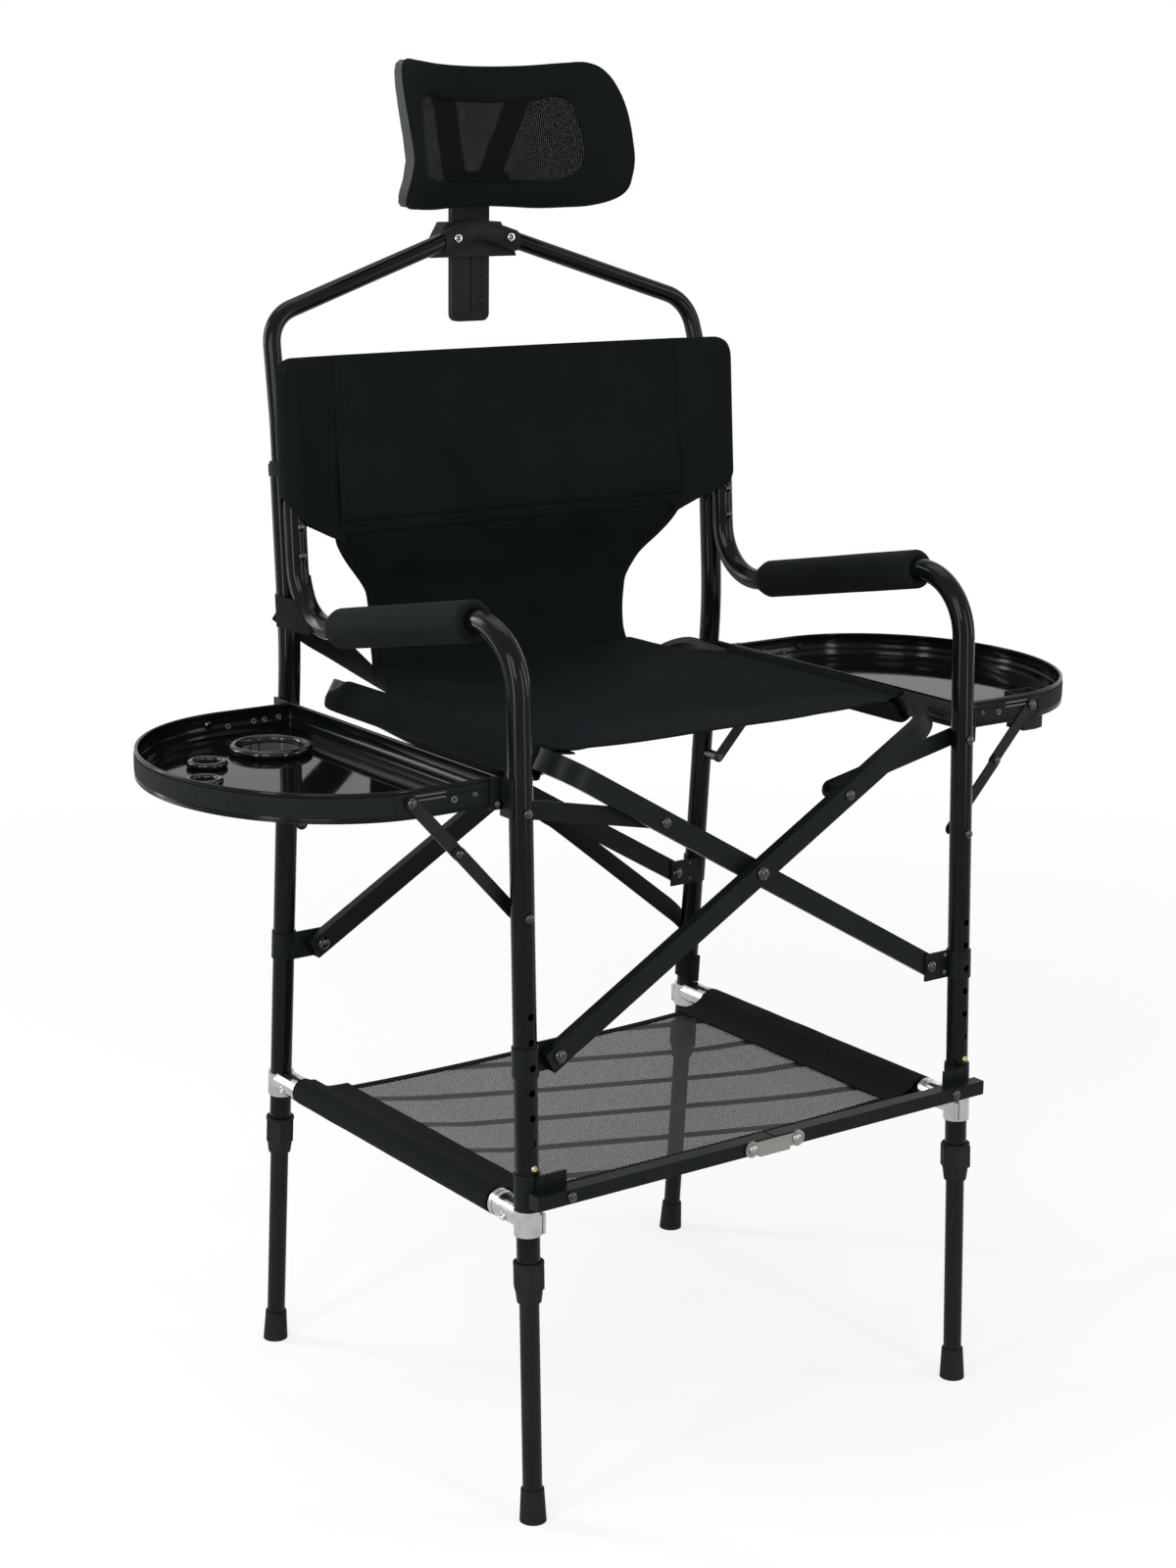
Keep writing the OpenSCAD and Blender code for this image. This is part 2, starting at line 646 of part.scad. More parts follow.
module tray_shape(s, off) {
  n = 36;
  polygon(concat(
    [[s * (tray_in + off), tray_front + off]],
    [for (i = [0:n]) let (t = -90 + 180 * i / n) [s * (tray_in + tray_flat + (tray_a - off) * cos(t)), tray_mid + (tray_b - off) * sin(t)]],
    [[s * (tray_in + off), tray_rear - off]]
  ));
}

cup_at = [400, 90];
tool_at = [490, 66];
brush_at = [530, -1];

module ring_holes(s, more) {
  if (s < 0) {
    translate([s * cup_at[0], cup_at[1]]) circle(cup_d / 2 - cup_bead + more);
    translate([s * tool_at[0], tool_at[1]]) circle(tool_d / 2 - tool_bead + more);
    translate([s * brush_at[0], brush_at[1]]) circle(brush_d / 2 - tool_bead + more);
  }
}

module tray_floor(s) {
  translate([0, 0, tray_z]) linear_extrude(tray_floor_t) difference() {
    tray_shape(s, tray_wall_t + 0.1);
    ring_holes(s, 0.5);
    if (s > 0) translate([pocket_x - pocket_gap, pocket_y - pocket_gap]) square([pocket_w + 2 * pocket_gap, pocket_l + 2 * pocket_gap]);
  }
}

module tray_wall(s) {
  x = s * (tray_in + tray_flat - 24.4);
  difference() {
    union() {
      translate([0, 0, tray_z - 2]) linear_extrude(tray_wall_h) difference() {
        tray_shape(s, 0);
        tray_shape(s, tray_wall_t);
      }
      translate([0, 0, tray_z - 2]) linear_extrude(1.8) difference() {
        tray_shape(s, 0);
        tray_shape(s, 8);
      }
      translate([0, 0, tray_z + tray_wall_h - 5]) linear_extrude(3) difference() {
        tray_shape(s, 0);
        tray_shape(s, tray_wall_t + 0.8);
      }
    }
    for (y = [tray_front, tray_rear - tray_wall_t]) {
      pin(s * tray_hinge_x, tray_hinge_z, y - 1, y + tray_wall_t + 1, 3 + pin_gap);
      pin(s * stay_x, stay_top, y - 2, y + tray_wall_t + 2, 3 + pin_gap);
    }
    pin(s * tray_hinge_x, tray_hinge_z, tray_front - 1, tray_front + tray_wall_t + 5, 3 + pin_gap);
    pin(s * tray_hinge_x, tray_hinge_z, tray_rear - tray_wall_t - 5, tray_rear + 1, 3 + pin_gap);
    translate([x - 19, tray_front - 1, tray_z + 18]) cube([38, tray_wall_t + 2, 4]);
    if (s > 0) in_tray(tray_wall_t + 0.6) translate([pocket_x - pocket_gap, pocket_y - pocket_gap, tray_z - 5]) cube([pocket_w + 2 * pocket_gap, pocket_l + 2 * pocket_gap, 6]);
  }
}

// Stay rivets of a tray, and the small rivets of its end channel
module tray_studs(s) {
  pin(s * stay_x, stay_top, stay_up_front - turn_gap, tray_front + tray_wall_t + 1.8, 3);
  head(s * stay_x, stay_top, stay_up_front - turn_gap, -1, 5.5, 3);
  head(s * stay_x, stay_top, tray_front + tray_wall_t + 1.8, 1, 4.5, 1.5);
  pin(s * stay_x, stay_top, tray_rear - tray_wall_t - 1.8, stay_up_rear + stay_t + turn_gap, 3);
  head(s * stay_x, stay_top, tray_rear - tray_wall_t - 1.8, -1, 4.5, 1.5);
}

module bead_ring(at, d, bead) {
  translate([-at[0], at[1], tray_z + tray_floor_t + bead / 2 + 0.1]) rotate_extrude() translate([d / 2 - bead / 2, 0]) circle(d = bead);
  translate([-at[0], at[1], tray_z - 6]) difference() {
    cylinder(h = tray_floor_t + 8, r = d / 2 - bead + 0.2);
    translate([0, 0, -1]) cylinder(h = tray_floor_t + 12, r = d / 2 - bead - 1.6);
  }
}

module tray_rings() {
  bead_ring(cup_at, cup_d, cup_bead);
  bead_ring(tool_at, tool_d, tool_bead);
  bead_ring(brush_at, brush_d, tool_bead);
  tray_studs(L);
}

pocket_w = 40;
pocket_l = 34;
pocket_x = stay_x - 4;
pocket_y = tray_front + tray_wall_t + 2.4;
pocket_low = 757;
pocket_gap = 0.3;
pocket_wall = 1.8;

// Keeps what lies inside the right tray's outline, off its edge
module in_tray(off) {
  intersection() {
    children();
    translate([0, 0, pocket_low - 5]) linear_extrude(80) tray_shape(R, off);
  }
}

module pocket_body(in) {
  in_tray(tray_wall_t + 1.2 + in) {
    translate([pocket_x + in, pocket_y + in, tray_z - 2]) cube([pocket_w - 2 * in, pocket_l - 2 * in, tray_wall_h - 4 + in]);
    translate([pocket_x + in + 3, pocket_y + in + 3, pocket_low + in]) cube([pocket_w - 2 * in - 6, pocket_l - 2 * in - 6, tray_z - pocket_low]);
  }
}

module tray_pocket() {
  difference() {
    union() {
      pocket_body(0);
      in_tray(tray_wall_t + 1.2) translate([pocket_x - 2.5, pocket_y - 2, tray_z + tray_floor_t + 0.1]) cube([pocket_w + 5, pocket_l + 5, 1.5]);
    }
    pocket_body(pocket_wall);
  }
  tray_studs(R);
}

// Folding stays between the legs and the trays
stay_gap = 0.4;
stay_up_front = tray_front - stay_gap - stay_t;
stay_low_front = stay_up_front - stay_gap - stay_t;
stay_up_rear = tray_rear + stay_gap;
stay_low_rear = stay_up_rear + stay_t + stay_gap;
stay_way = unit([leg_span / 2, stay_z] - [stay_x, stay_top]);
knee = [stay_x, stay_top] + stay_way * stay_upper;

module upper_stays(s) {
  for (y = [stay_up_front, stay_up_rear])
    difference() {
      strip([s * stay_x, stay_top], [s * (knee + stay_way * 2)[0], (knee + stay_way * 2)[1]], stay_w, y, stay_t, 3 + pin_gap, 0);
      pin(s * knee[0], knee[1], y - 1, y + stay_t + 1, 2);
    }
}

module lower_stays(s) {
  for (y = [stay_low_front, stay_low_rear])
    strip([s * leg_span / 2, stay_z], [s * knee[0], knee[1]], stay_w, y, stay_t, 3 + pin_gap, 0);
  head(s * knee[0], knee[1], stay_low_front, -1, 4.5, 2.4);
  head(s * knee[0], knee[1], stay_low_rear + stay_t, 1, 4.5, 2.4);
}

// Seat frames: each is one bent member that carries a seat rail and crosses the other one
module seat_outline(y0, y1, in) {
  r = member_bend + member_t - in;
  far = member_s + member_t / 2 - in;
  near = -member_end - (in > 0 ? 1 : 0);
  front = y0 + in;
  rear = y1 + member_t - in;
  difference() {
    union() {
      translate([near, front]) square([far - near - r, rear - front]);
      translate([near, front + r]) square([far - near, rear - front - 2 * r]);
      translate([far - r, front + r]) circle(r);
      translate([far - r, rear - r]) circle(r);
    }
    difference() {
      f = member_s - member_t / 2 + in;
      q = member_bend + in;
      union() {
        translate([-member_end - 5, y0 + member_t - in]) square([f - q + member_end + 5, y1 - y0 - member_t + 2 * in]);
        translate([-member_end - 5, y0 + member_t - in + q]) square([f + member_end + 5, y1 - y0 - member_t + 2 * in - 2 * q]);
        translate([f - q, y0 + member_t - in + q]) circle(q);
        translate([f - q, y1 + in - q]) circle(q);
      }
    }
  }
}

module seat_frame(s, y0, y1) {
  translate([s * -pivot_span / 2, 0, pivot_z]) rotate([0, s > 0 ? -cross_angle : cross_angle - 180, 0]) difference() {
    translate([0, 0, -member_w / 2]) linear_extrude(member_w) seat_outline(y0, y1, 0);
    translate([0, 0, -member_w / 2 + member_wall]) linear_extrude(member_w - 2 * member_wall) seat_outline(y0, y1, member_wall);
    for (y = [y0, y1]) for (a = [0, cross_reach]) translate([a, y - 1, 0]) rotate([-90, 0, 0]) cylinder(h = member_t + 2, r = bolt_d / 2 + pin_gap);
  }
}

// Stud that the guide link hangs on, with its head on the front of the member
module guide_stud(s, y0) {
  pin(s * pin_x, pin_z, y0 - 0.1, link_y - 0.5, 4);
  head(s * pin_x, pin_z, y0 - 0.1, -1, 6, 3);
}

module right_frame_part() {
  difference() {
    seat_frame(R, a_front, a_rear);
    pin(pin_x, pin_z, a_front - 1, a_front + member_t + 1, 4 - 0.02);
  }
  guide_stud(R, a_front);
}

module left_frame_part() {
  difference() {
    seat_frame(L, b_front, b_rear);
    pin(-pin_x, pin_z, b_front - 1, b_front + member_t + 1, 4 - 0.02);
  }
  guide_stud(L, b_front);
}

module cross_bolt(y0, y1) {
  pin(0, cross_z, y0 - turn_gap, y1 + turn_gap, bolt_d / 2);
  head(0, cross_z, y0 - turn_gap, -1, 7.5, 3.5);
  head(0, cross_z, y1 + turn_gap, 1, 7.5, 3.5);
  pin(0, cross_z, y0 + member_t + turn_gap, y0 + member_t + ear_t + turn_gap, 9);
}

module guide_link(s) {
  strip([s * leg_span / 2, link_z], [s * pin_x, pin_z], link_w, link_y, link_t, 3 + pin_gap, 0);
}

// Folding bar between the front legs
bar_tip = 1.2;

module bar_half(s) {
  x0 = bar_tip;
  x1 = bar_span / 2 + bar_end;
  difference() {
    translate([s > 0 ? x0 : -x1, bar_front, bar_z - bar_w / 2]) difference() {
      cube([x1 - x0, bar_w, bar_w]);
      translate([bar_wall, bar_wall, bar_wall]) cube([x1 - x0 - 2 * bar_wall, bar_w - 2 * bar_wall, bar_w - 2 * bar_wall]);
    }
    if (s < 0) pin(s * bar_span / 2, bar_z, bar_front - 1, bar_rear + 1, 3 + pin_gap);
    pin(s * latch_span / 2, bar_z, bar_front - 1, bar_rear + 1, 3 + pin_gap);
  }
  if (s > 0) {
    pin(s * bar_span / 2, bar_z, bar_front + bar_wall / 2, bar_rear, 3);
    head(s * bar_span / 2, bar_z, bar_front - 0.05, -1, 5.5, 3);
  }
}

module latch() {
  r = bar_w / 2 + 1;
  difference() {
    union() {
      for (s = [L, R]) pin(s * (latch_w / 2 - r), bar_z, latch_front, latch_front + latch_t, r);
      translate([-latch_w / 2 + r, latch_front, bar_z - r + 2]) cube([latch_w - 2 * r, latch_t, 2 * r - 4]);
      translate([-21, latch_front, bar_z - bar_w / 2 - 2.4]) cube([42, bar_w - 1, 2]);
      translate([-21, latch_front, bar_z - bar_w / 2 - 2.4]) cube([42, latch_t, 8]);
    }
  }
  for (s = [L, R]) {
    pin(s * latch_span / 2, bar_z, latch_front + latch_t / 2, bar_rear + turn_gap, 3);
    head(s * latch_span / 2, bar_z, latch_front, -1, 6, 3);
    head(s * latch_span / 2, bar_z, bar_rear + turn_gap, 1, 5, 1.6);
  }
}

// Hoop: drawn in its leaning plane, which turns about the line through the tops of its spigots
lean = atan(hoop_lean);
hoop_u = 1 / cos(lean);
hoop_x = leg_span / 2;

function hoop_path(low) = [
  [-hoop_x, -low],
  [-hoop_x + hoop_draw, (hoop_corner - hoop_start) * hoop_u],
  [0, (hoop_peak - hoop_start) * hoop_u],
  [hoop_x - hoop_draw, (hoop_corner - hoop_start) * hoop_u],
  [hoop_x, -low]
];
hoop_bends = [0, hoop_bend, peak_bend, hoop_bend, 0];

module in_hoop() {
  translate([0, post_y(hoop_start), hoop_start]) rotate([90 - lean, 0, 0]) children();
}

module spigot(s, low, r) {
  in_side(s * hoop_x) rod([post_y(low), low], [post_y(hoop_start), hoop_start], r);
}

module hoop_solid(r, low_left, low_right) {
  in_hoop() bent(hoop_path(0), hoop_bends, r);
  for (s = [L, R]) translate([s * hoop_x, post_y(hoop_start), hoop_start]) sphere(r + 0.1);
  spigot(L, low_left, r);
  spigot(R, low_right, r);
}

module hoop_tube() {
  difference() {
    hoop_solid(hoop_d / 2, post_top - hoop_seat, post_top + 8 + turn_gap);
    hoop_solid(hoop_d / 2 - hoop_wall, post_top - hoop_seat - 1, post_top + 7);
  }
}

// Centre sleeve on the hoop with the housing that guides the stem
module clamp_shape() {
  polygon([[-60, 1280], [60, 1280], [58, 1287], [38, 1320], [-38, 1320], [-58, 1287]]);
}

turn_half = atan((hoop_peak - hoop_corner) * hoop_u / (hoop_x - hoop_draw));
screw_z = hoop_peak - 37 * tan(turn_half) / hoop_u;

module hoop_sleeve() {
  in_hoop() intersection() {
    bent(hoop_path(0), hoop_bends, hoop_d / 2 + grip_gap + saddle_wall);
    translate([-saddle_w / 2, 0, -40]) cube([saddle_w, 400, 80]);
  }
}

module hoop_clamp_part() {
  difference() {
    union() {
      hoop_sleeve();
      translate([0, clip_rear, 0]) rotate([90, 0, 0]) linear_extrude(clip_rear - clip_front + 5) clamp_shape();
    }
    in_hoop() bent(hoop_path(0), hoop_bends, hoop_d / 2 + grip_gap);
    translate([-stem_w / 2 - 0.4, stem_y - 0.4, 1270]) cube([stem_w + 0.8, stem_t + 0.8, 60]);
  }
  for (s = [L, R]) translate([s * 37, hoop_y(screw_z) - hoop_d / 2 - saddle_wall - 2.8, screw_z]) rotate([-90, 0, 0]) cylinder(h = 3.6, r = 4.2, $fn = 6);
}

knuckle = 7;
lug = 12;

module stem() {
  r = 9;
  difference() {
    union() {
      translate([0, stem_y + stem_t, 0]) rotate([90, 0, 0]) linear_extrude(stem_t) {
        translate([-stem_w / 2 + r, stem_z + r]) circle(r);
        translate([stem_w / 2 - r, stem_z + r]) circle(r);
        translate([-stem_w / 2 + r, stem_z]) square([stem_w - 2 * r, 30]);
        translate([-stem_w / 2, stem_z + r]) square([stem_w, tilt_z - 10 - stem_z - r]);
        translate([-lug, tilt_z - 30]) square([2 * lug, 30 + knuckle]);
      }
      translate([-lug, tilt_y, tilt_z]) rotate([0, 90, 0]) cylinder(h = 2 * lug, r = knuckle);
      translate([-lug, tilt_y, tilt_z - knuckle]) cube([2 * lug, stem_y + 1 - tilt_y, 2 * knuckle]);
    }
    for (k = [0:7]) translate([9, stem_y - 1, 1272 - 8 * k]) cube([8, 2.6, 2.2]);
    translate([-1, stem_y - 1, stem_z + 10]) cube([2, 2.2, 110]);
  }
  translate([-stem_w / 2, tilt_y, tilt_z]) rotate([0, 90, 0]) cylinder(h = stem_w, r = 3);
}

// Headrest shell: a profile turned about an upright axis ahead of it
head_y = 262;
head_profile = [[1335, 24], [1350, 13], [1372, 4], [1393, 0], [1420, 4], [1460, 13], [1510, 27]];

module head_shell(near, far) {
  translate([0, head_y - head_curve, 0]) rotate([0, 0, 30]) rotate_extrude(angle = 120)
    polygon(concat([for (p = head_profile) [head_curve + p[1] + near, p[0]]],
      [for (i = [len(head_profile) - 1:-1:0]) [head_curve + head_profile[i][1] + far, head_profile[i][0]]]));
}

head_half = [[0, 1495], [60, 1497], [104, 1501], [122, 1502], [134, 1497.5], [141, 1488.5], [146.5, 1473], [149.5, 1455], [150.5, 1430], [150, 1396], [150.5, 1374], [150.5, 1361], [148, 1353.5], [141, 1346.5], [128, 1341], [100, 1338], [70, 1337], [42, 1339], [30, 1344], [0, 1345]];
head_mid = [0, 1424];

module head_shape(in) {
  kx = (150.5 - in) / 150.5;
  kz = (80 - in) / 80;
  right = [for (p = head_half) [p[0] * kx, head_mid[1] + (p[1] - head_mid[1]) * kz]];
  polygon(concat(right, [for (i = [len(right) - 2:-1:1]) [-right[i][0], right[i][1]]]));
}

module head_cut(near, far) {
  intersection() {
    head_shell(near, far);
    translate([0, 400, 0]) rotate([90, 0, 0]) linear_extrude(400) children();
  }
}

module head_rim() {
  head_cut(0, rim_depth) difference() {
    head_shape(0);
    head_shape(rim_w);
  }
}

module head_mesh() {
  head_cut(4, 4 + net_t) head_shape(rim_w + 0.1);
}

// Middle of a yoke arm at its foot, where it comes forward, and on the rim
yoke_foot = [24, tilt_y + 3, tilt_z + 22];
yoke_knee = [50, 285, 1456];
yoke_tip = [57, 291.5, 1480];

module yoke_disc(p, s) {
  translate([s * p[0], p[1], p[2]]) rotate([90, 0, 0]) cylinder(h = yoke_t, d = yoke_arm_w, center = true, $fn = 32);
}

module yoke_arm(s) {
  difference() {
    union() {
      hull() { yoke_disc(yoke_foot, s); yoke_disc(yoke_knee, s); }
      hull() { yoke_disc(yoke_knee, s); yoke_disc(yoke_tip, s); }
    }
    head_shell(-40, rim_depth + 0.1);
  }
}

module yoke() {
  boss_x = yoke_foot[0] - yoke_arm_w / 2;
  head_cut(rim_depth + 0.1, rim_depth + 0.1 + yoke_t) {
    difference() {
      union() {
        polygon([[-26, 1346], [26, 1346], [26, 1378], [-26, 1378]]);
        polygon([[-26, 1352], [-126, 1352], [-134, 1360], [-126, 1368], [-26, 1368]]);
        polygon([[26, 1352], [126, 1352], [134, 1360], [126, 1368], [26, 1368]]);
      }
      translate([-lug - 0.4, 1330]) square([2 * lug + 0.8, 33]);
    }
  }
  for (s = [L, R]) {
    yoke_arm(s);
    translate([s > 0 ? boss_x : -boss_x - yoke_arm_w, 281, tilt_z + 14.5]) cube([yoke_arm_w, yoke_foot[1] + yoke_t / 2 - 281, 12]);
  }
  for (s = [L, R]) difference() {
    union() {
      translate([s > 0 ? lug + 0.4 : -stem_w / 2 + 1, tilt_y, tilt_z]) rotate([0, 90, 0]) cylinder(h = stem_w / 2 - lug - 1.4, r = knuckle);
      translate([s > 0 ? lug + 0.4 : -stem_w / 2 + 1, tilt_y - 9, tilt_z - 2]) cube([stem_w / 2 - lug - 1.4, 9, 9]);
    }
    translate([s > 0 ? lug : -stem_w / 2, tilt_y, tilt_z]) rotate([0, 90, 0]) cylinder(h = stem_w / 2, r = 3 + pin_gap);
  }
}

// Cloth pieces
back_sleeve = 15;

module back_ribbon(t) {
  off = 8.2;
  p = [[up_y(back_top - 4) + off, back_top - 4], [up_y(990) + off, 990], [227, 937], [240, 900], [241, 860], [232, 812]];
  in_side(-leg_span / 2) linear_extrude(leg_span) polygon(concat([for (q = p) q - [t / 2, 0]], [for (i = [len(p) - 1:-1:0]) p[i] + [t / 2, 0]]));
}

module back_part() {
  x = leg_span / 2;
  half = [[x - tr, back_top - 1], [x - tr, sleeve_low], [288, 999], [252, 982], [235, 967], [217, 946], [204, 935], [187, 914], [178.5, 880], [179, 812]];
  difference() {
    union() {
      for (s = [L, R]) in_side(s * x) rod([up_y(sleeve_low), sleeve_low], [up_y(back_top), back_top], back_sleeve);
      intersection() {
        back_ribbon(cloth_t);
        translate([0, 400, 0]) rotate([90, 0, 0]) linear_extrude(500) polygon(concat(half, [for (i = [len(half) - 1:-1:0]) [-half[i][0], half[i][1]]]));
      }
    }
    for (s = [L, R]) {
      in_side(s * x) rod([up_y(sleeve_low - 10), sleeve_low - 10], [up_y(upright_top + cloth_gap), upright_top + cloth_gap], tr + cloth_gap);
      in_side(s * x) rod([post_y(sleeve_low - 30), sleeve_low - 30], [post_y(post_top + 1), post_top + 1], tr + 1);
      in_side(s * x) rod([post_y(post_top - 10), post_top - 10], [post_y(post_top + 9), post_top + 9], tr + 1.5 + cloth_gap);
      in_side(s * x) rod([post_y(post_top), post_top], [post_y(back_top + 10), back_top + 10], hoop_d / 2 + 1);
    }
  }
}

sheet_front = -212;
sheet_rear = 185;
tongue = 165;

module seat_sheet(x0, y0, y1) {
  n = 12;
  xs = [for (i = [0:n]) -x0 + 2 * x0 * i / n];
  top = [for (x = xs) [x, seat_z - seat_sag * (1 - pow(x / rail_x, 2))]];
  translate([0, y1, 0]) rotate([90, 0, 0]) linear_extrude(y1 - y0) polygon(concat(top, [for (i = [n:-1:0]) top[i] - [0, cloth_t]]));
}

module rail_box(s, more, y0, y1) {
  translate([s * rail_x, y0, rail_z]) rotate([0, s > 0 ? -cross_angle : cross_angle, 0]) translate([-member_t / 2 - more, 0, -member_w / 2 - more]) cube([member_t + 2 * more, y1 - y0, member_w + 2 * more]);
}

module seat_part() {
  y0 = b_front + member_t + member_bend + 2;
  y1 = a_rear - member_bend - 2;
  difference() {
    union() {
      for (s = [L, R]) rail_box(s, cloth_gap + cloth_t, y0, y1);
      seat_sheet(rail_x - 2, y0, y1);
      seat_sheet(rail_x - 26, sheet_front, y0 + 1);
      seat_sheet(tongue, y1 - 1, 228);
    }
    for (s = [L, R]) rail_box(s, cloth_gap, y0 - 1, y1 + 1);
  }
}

shelf_sag = 4;

module shelf_part() {
  y0 = branch_front + 3;
  y1 = branch_rear - 3;
  x = leg_span / 2;
  n = 8;
  xs = [for (i = [0:n]) -x + 2 * x * i / n];
  top = [for (q = xs) [q, shelf_z - 2 - shelf_sag * (1 - pow(q / x, 2))]];
  difference() {
    union() {
      for (s = [L, R]) pin(s * x, shelf_z, y0, y1, shelf_d / 2 + cloth_gap + shelf_t);
      translate([0, y1, 0]) rotate([90, 0, 0]) linear_extrude(y1 - y0) polygon(concat(top, [for (i = [n:-1:0]) top[i] - [0, shelf_t]]));
    }
    for (s = [L, R]) pin(s * x, shelf_z, y0 - 1, y1 + 1, shelf_d / 2 + cloth_gap);
  }
}

// Strap from the left post to the right rear leg
strap_from = [-leg_span / 2, post_y(strap_high) + tr + 2.2, strap_high];
strap_to = [leg_span / 2, rear_y(strap_low) + tr + 2.9, strap_low];

module strap() {
  v = strap_to - strap_from;
  flat = norm([v[0], v[2]]);
  translate(strap_from) rotate([0, atan2(-v[2], v[0]), 0]) rotate([0, 0, atan2(v[1], flat)]) translate([0, -cloth_t / 2, -strap_w / 2]) cube([norm(v), cloth_t, strap_w]);
  in_side(-leg_span / 2) difference() {
    rod([post_y(strap_high - 20), strap_high - 20], [post_y(strap_high + 20), strap_high + 20], tr + 3.2);
    rod([post_y(strap_high - 30), strap_high - 30], [post_y(strap_high + 30), strap_high + 30], tr + cloth_gap);
    rod([up_y(strap_high - 30), strap_high - 30], [up_y(strap_high + 30), strap_high + 30], tr + cloth_gap);
  }
  in_side(leg_span / 2) difference() {
    rod([rear_y(strap_low - 18), strap_low - 18], [rear_y(strap_low + 18), strap_low + 18], tr + 3.2);
    rod([rear_y(strap_low - 28), strap_low - 28], [rear_y(strap_low + 28), strap_low + 28], tr + cloth_gap);
  }
}

module left_arm_tube() { color(black) placed() arm_tube(L); }
module right_arm_tube() { color(black) placed() arm_tube(R); }
module left_rear_post() { color(black) placed() rear_post(L); }
module right_rear_post() { color(black) placed() rear_post(R); }
module left_post_collar() { color(coal) placed() post_collar(L); }
module right_post_collar() { color(coal) placed() post_collar(R); }
module left_arm_pad() { color(foam) placed() arm_pad(L); }
module right_arm_pad() { color(foam) placed() arm_pad(R); }
module left_brackets() { color(black) placed() brackets(L); }
module right_brackets() { color(black) placed() brackets(R); }
module left_shelf_clamps() { color(chromed) placed() shelf_clamps(L); }
module right_shelf_clamps() { color(chromed) placed() shelf_clamps(R); }
module left_shelf_tube() { color(coal) placed() shelf_tube(L); }
module right_shelf_tube() { color(coal) placed() shelf_tube(R); }
module left_rivets() { color(steel) placed() rivets(L); }
module right_rivets() { color(steel) placed() rivets(R); }
module front_left_leg() { color(coal) placed() ext_leg(L, -1); }
module front_right_leg() { color(coal) placed() ext_leg(R, -1); }
module rear_left_leg() { color(coal) placed() ext_leg(L, 1); }
module rear_right_leg() { color(coal) placed() ext_leg(R, 1); }
module front_left_foot() { color(foam) placed() foot(L, -1); }
module front_right_foot() { color(foam) placed() foot(R, -1); }
module rear_left_foot() { color(foam) placed() foot(L, 1); }
module rear_right_foot() { color(foam) placed() foot(R, 1); }
module front_left_button() { color(brassy) placed() button(L, -1); }
module front_right_button() { color(brassy) placed() button(R, -1); }
module rear_left_button() { color(brassy) placed() button(L, 1); }
module rear_right_button() { color(brassy) placed() button(R, 1); }
module front_left_collar() { color(foam) placed() lock_collar(L, -1); }
module front_right_collar() { color(foam) placed() lock_collar(R, -1); }
module rear_left_collar() { color(foam) placed() lock_collar(L, 1); }
module rear_right_collar() { color(foam) placed() lock_collar(R, 1); }
module left_tray_floor() { color(black) placed() tray_floor(L); }
module left_tray_wall() { color(coal) placed() tray_wall(L); }
module left_tray_rings() { color(black) placed() tray_rings(); }
module right_tray_floor() { color(black) placed() tray_floor(R); }
module right_tray_wall() { color(coal) placed() tray_wall(R); }
module right_tray_pocket() { color(black) placed() tray_pocket(); }
module left_upper_stays() { color(steel) placed() upper_stays(L); }
module left_lower_stays() { color(black) placed() lower_stays(L); }
module right_upper_stays() { color(steel) placed() upper_stays(R); }
module right_lower_stays() { color(black) placed() lower_stays(R); }
module right_seat_frame() { color(coal) placed() right_frame_part(); }
module left_seat_frame() { color(black) placed() left_frame_part(); }
module cross_bolts() { color(steel) placed() { cross_bolt(a_front, b_front + member_t); cross_bolt(a_rear, b_rear + member_t); } }
module left_guide_link() { color(coal) placed() guide_link(L); }
module right_guide_link() { color(coal) placed() guide_link(R); }
module left_bar() { color(black) placed() bar_half(L); }
module right_bar() { color(black) placed() bar_half(R); }
module bar_latch() { color(chromed) placed() latch(); }
module hoop() { color(black) placed() hoop_tube(); }
module hoop_clamp() { color(black) placed() hoop_clamp_part(); }
module head_stem() { color(coal) placed() stem(); }
module head_yoke() { color(foam) placed() yoke(); }
module head_frame() { color(black) placed() head_rim(); }
module head_net() { color(cloth) placed() head_mesh(); }
module back_cloth() { color(cloth) placed() back_part(); }
module seat_cloth() { color(cloth) placed() seat_part(); }
module shelf_cloth() { color(cloth) placed() shelf_part(); }
module carry_strap() { color(foam) placed() strap(); }

left_arm_tube();
right_arm_tube();
left_rear_post();
right_rear_post();
left_post_collar();
right_post_collar();
left_arm_pad();
right_arm_pad();
left_brackets();
right_brackets();
left_shelf_clamps();
right_shelf_clamps();
left_shelf_tube();
right_shelf_tube();
left_rivets();
right_rivets();
front_left_leg();
front_right_leg();
rear_left_leg();
rear_right_leg();
front_left_foot();
front_right_foot();
rear_left_foot();
rear_right_foot();
front_left_button();
front_right_button();
rear_left_button();
rear_right_button();
front_left_collar();
front_right_collar();
rear_left_collar();
rear_right_collar();
left_tray_floor();
left_tray_wall();
left_tray_rings();
right_tray_floor();
right_tray_wall();
right_tray_pocket();
left_upper_stays();
left_lower_stays();
right_upper_stays();
right_lower_stays();
right_seat_frame();
left_seat_frame();
cross_bolts();
left_guide_link();
right_guide_link();
left_bar();
right_bar();
bar_latch();
hoop();
hoop_clamp();
head_stem();
head_yoke();
head_frame();
head_net();
back_cloth();
seat_cloth();
shelf_cloth();
carry_strap();
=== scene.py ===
"""Looks of a folding makeup chair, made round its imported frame.

Sizes inside the shapes are millimetres on the chair's own middle, and to_frame() turns them
into metres in the frame. The chair faces -Y, X runs across it and Z is up from the floor.
"""

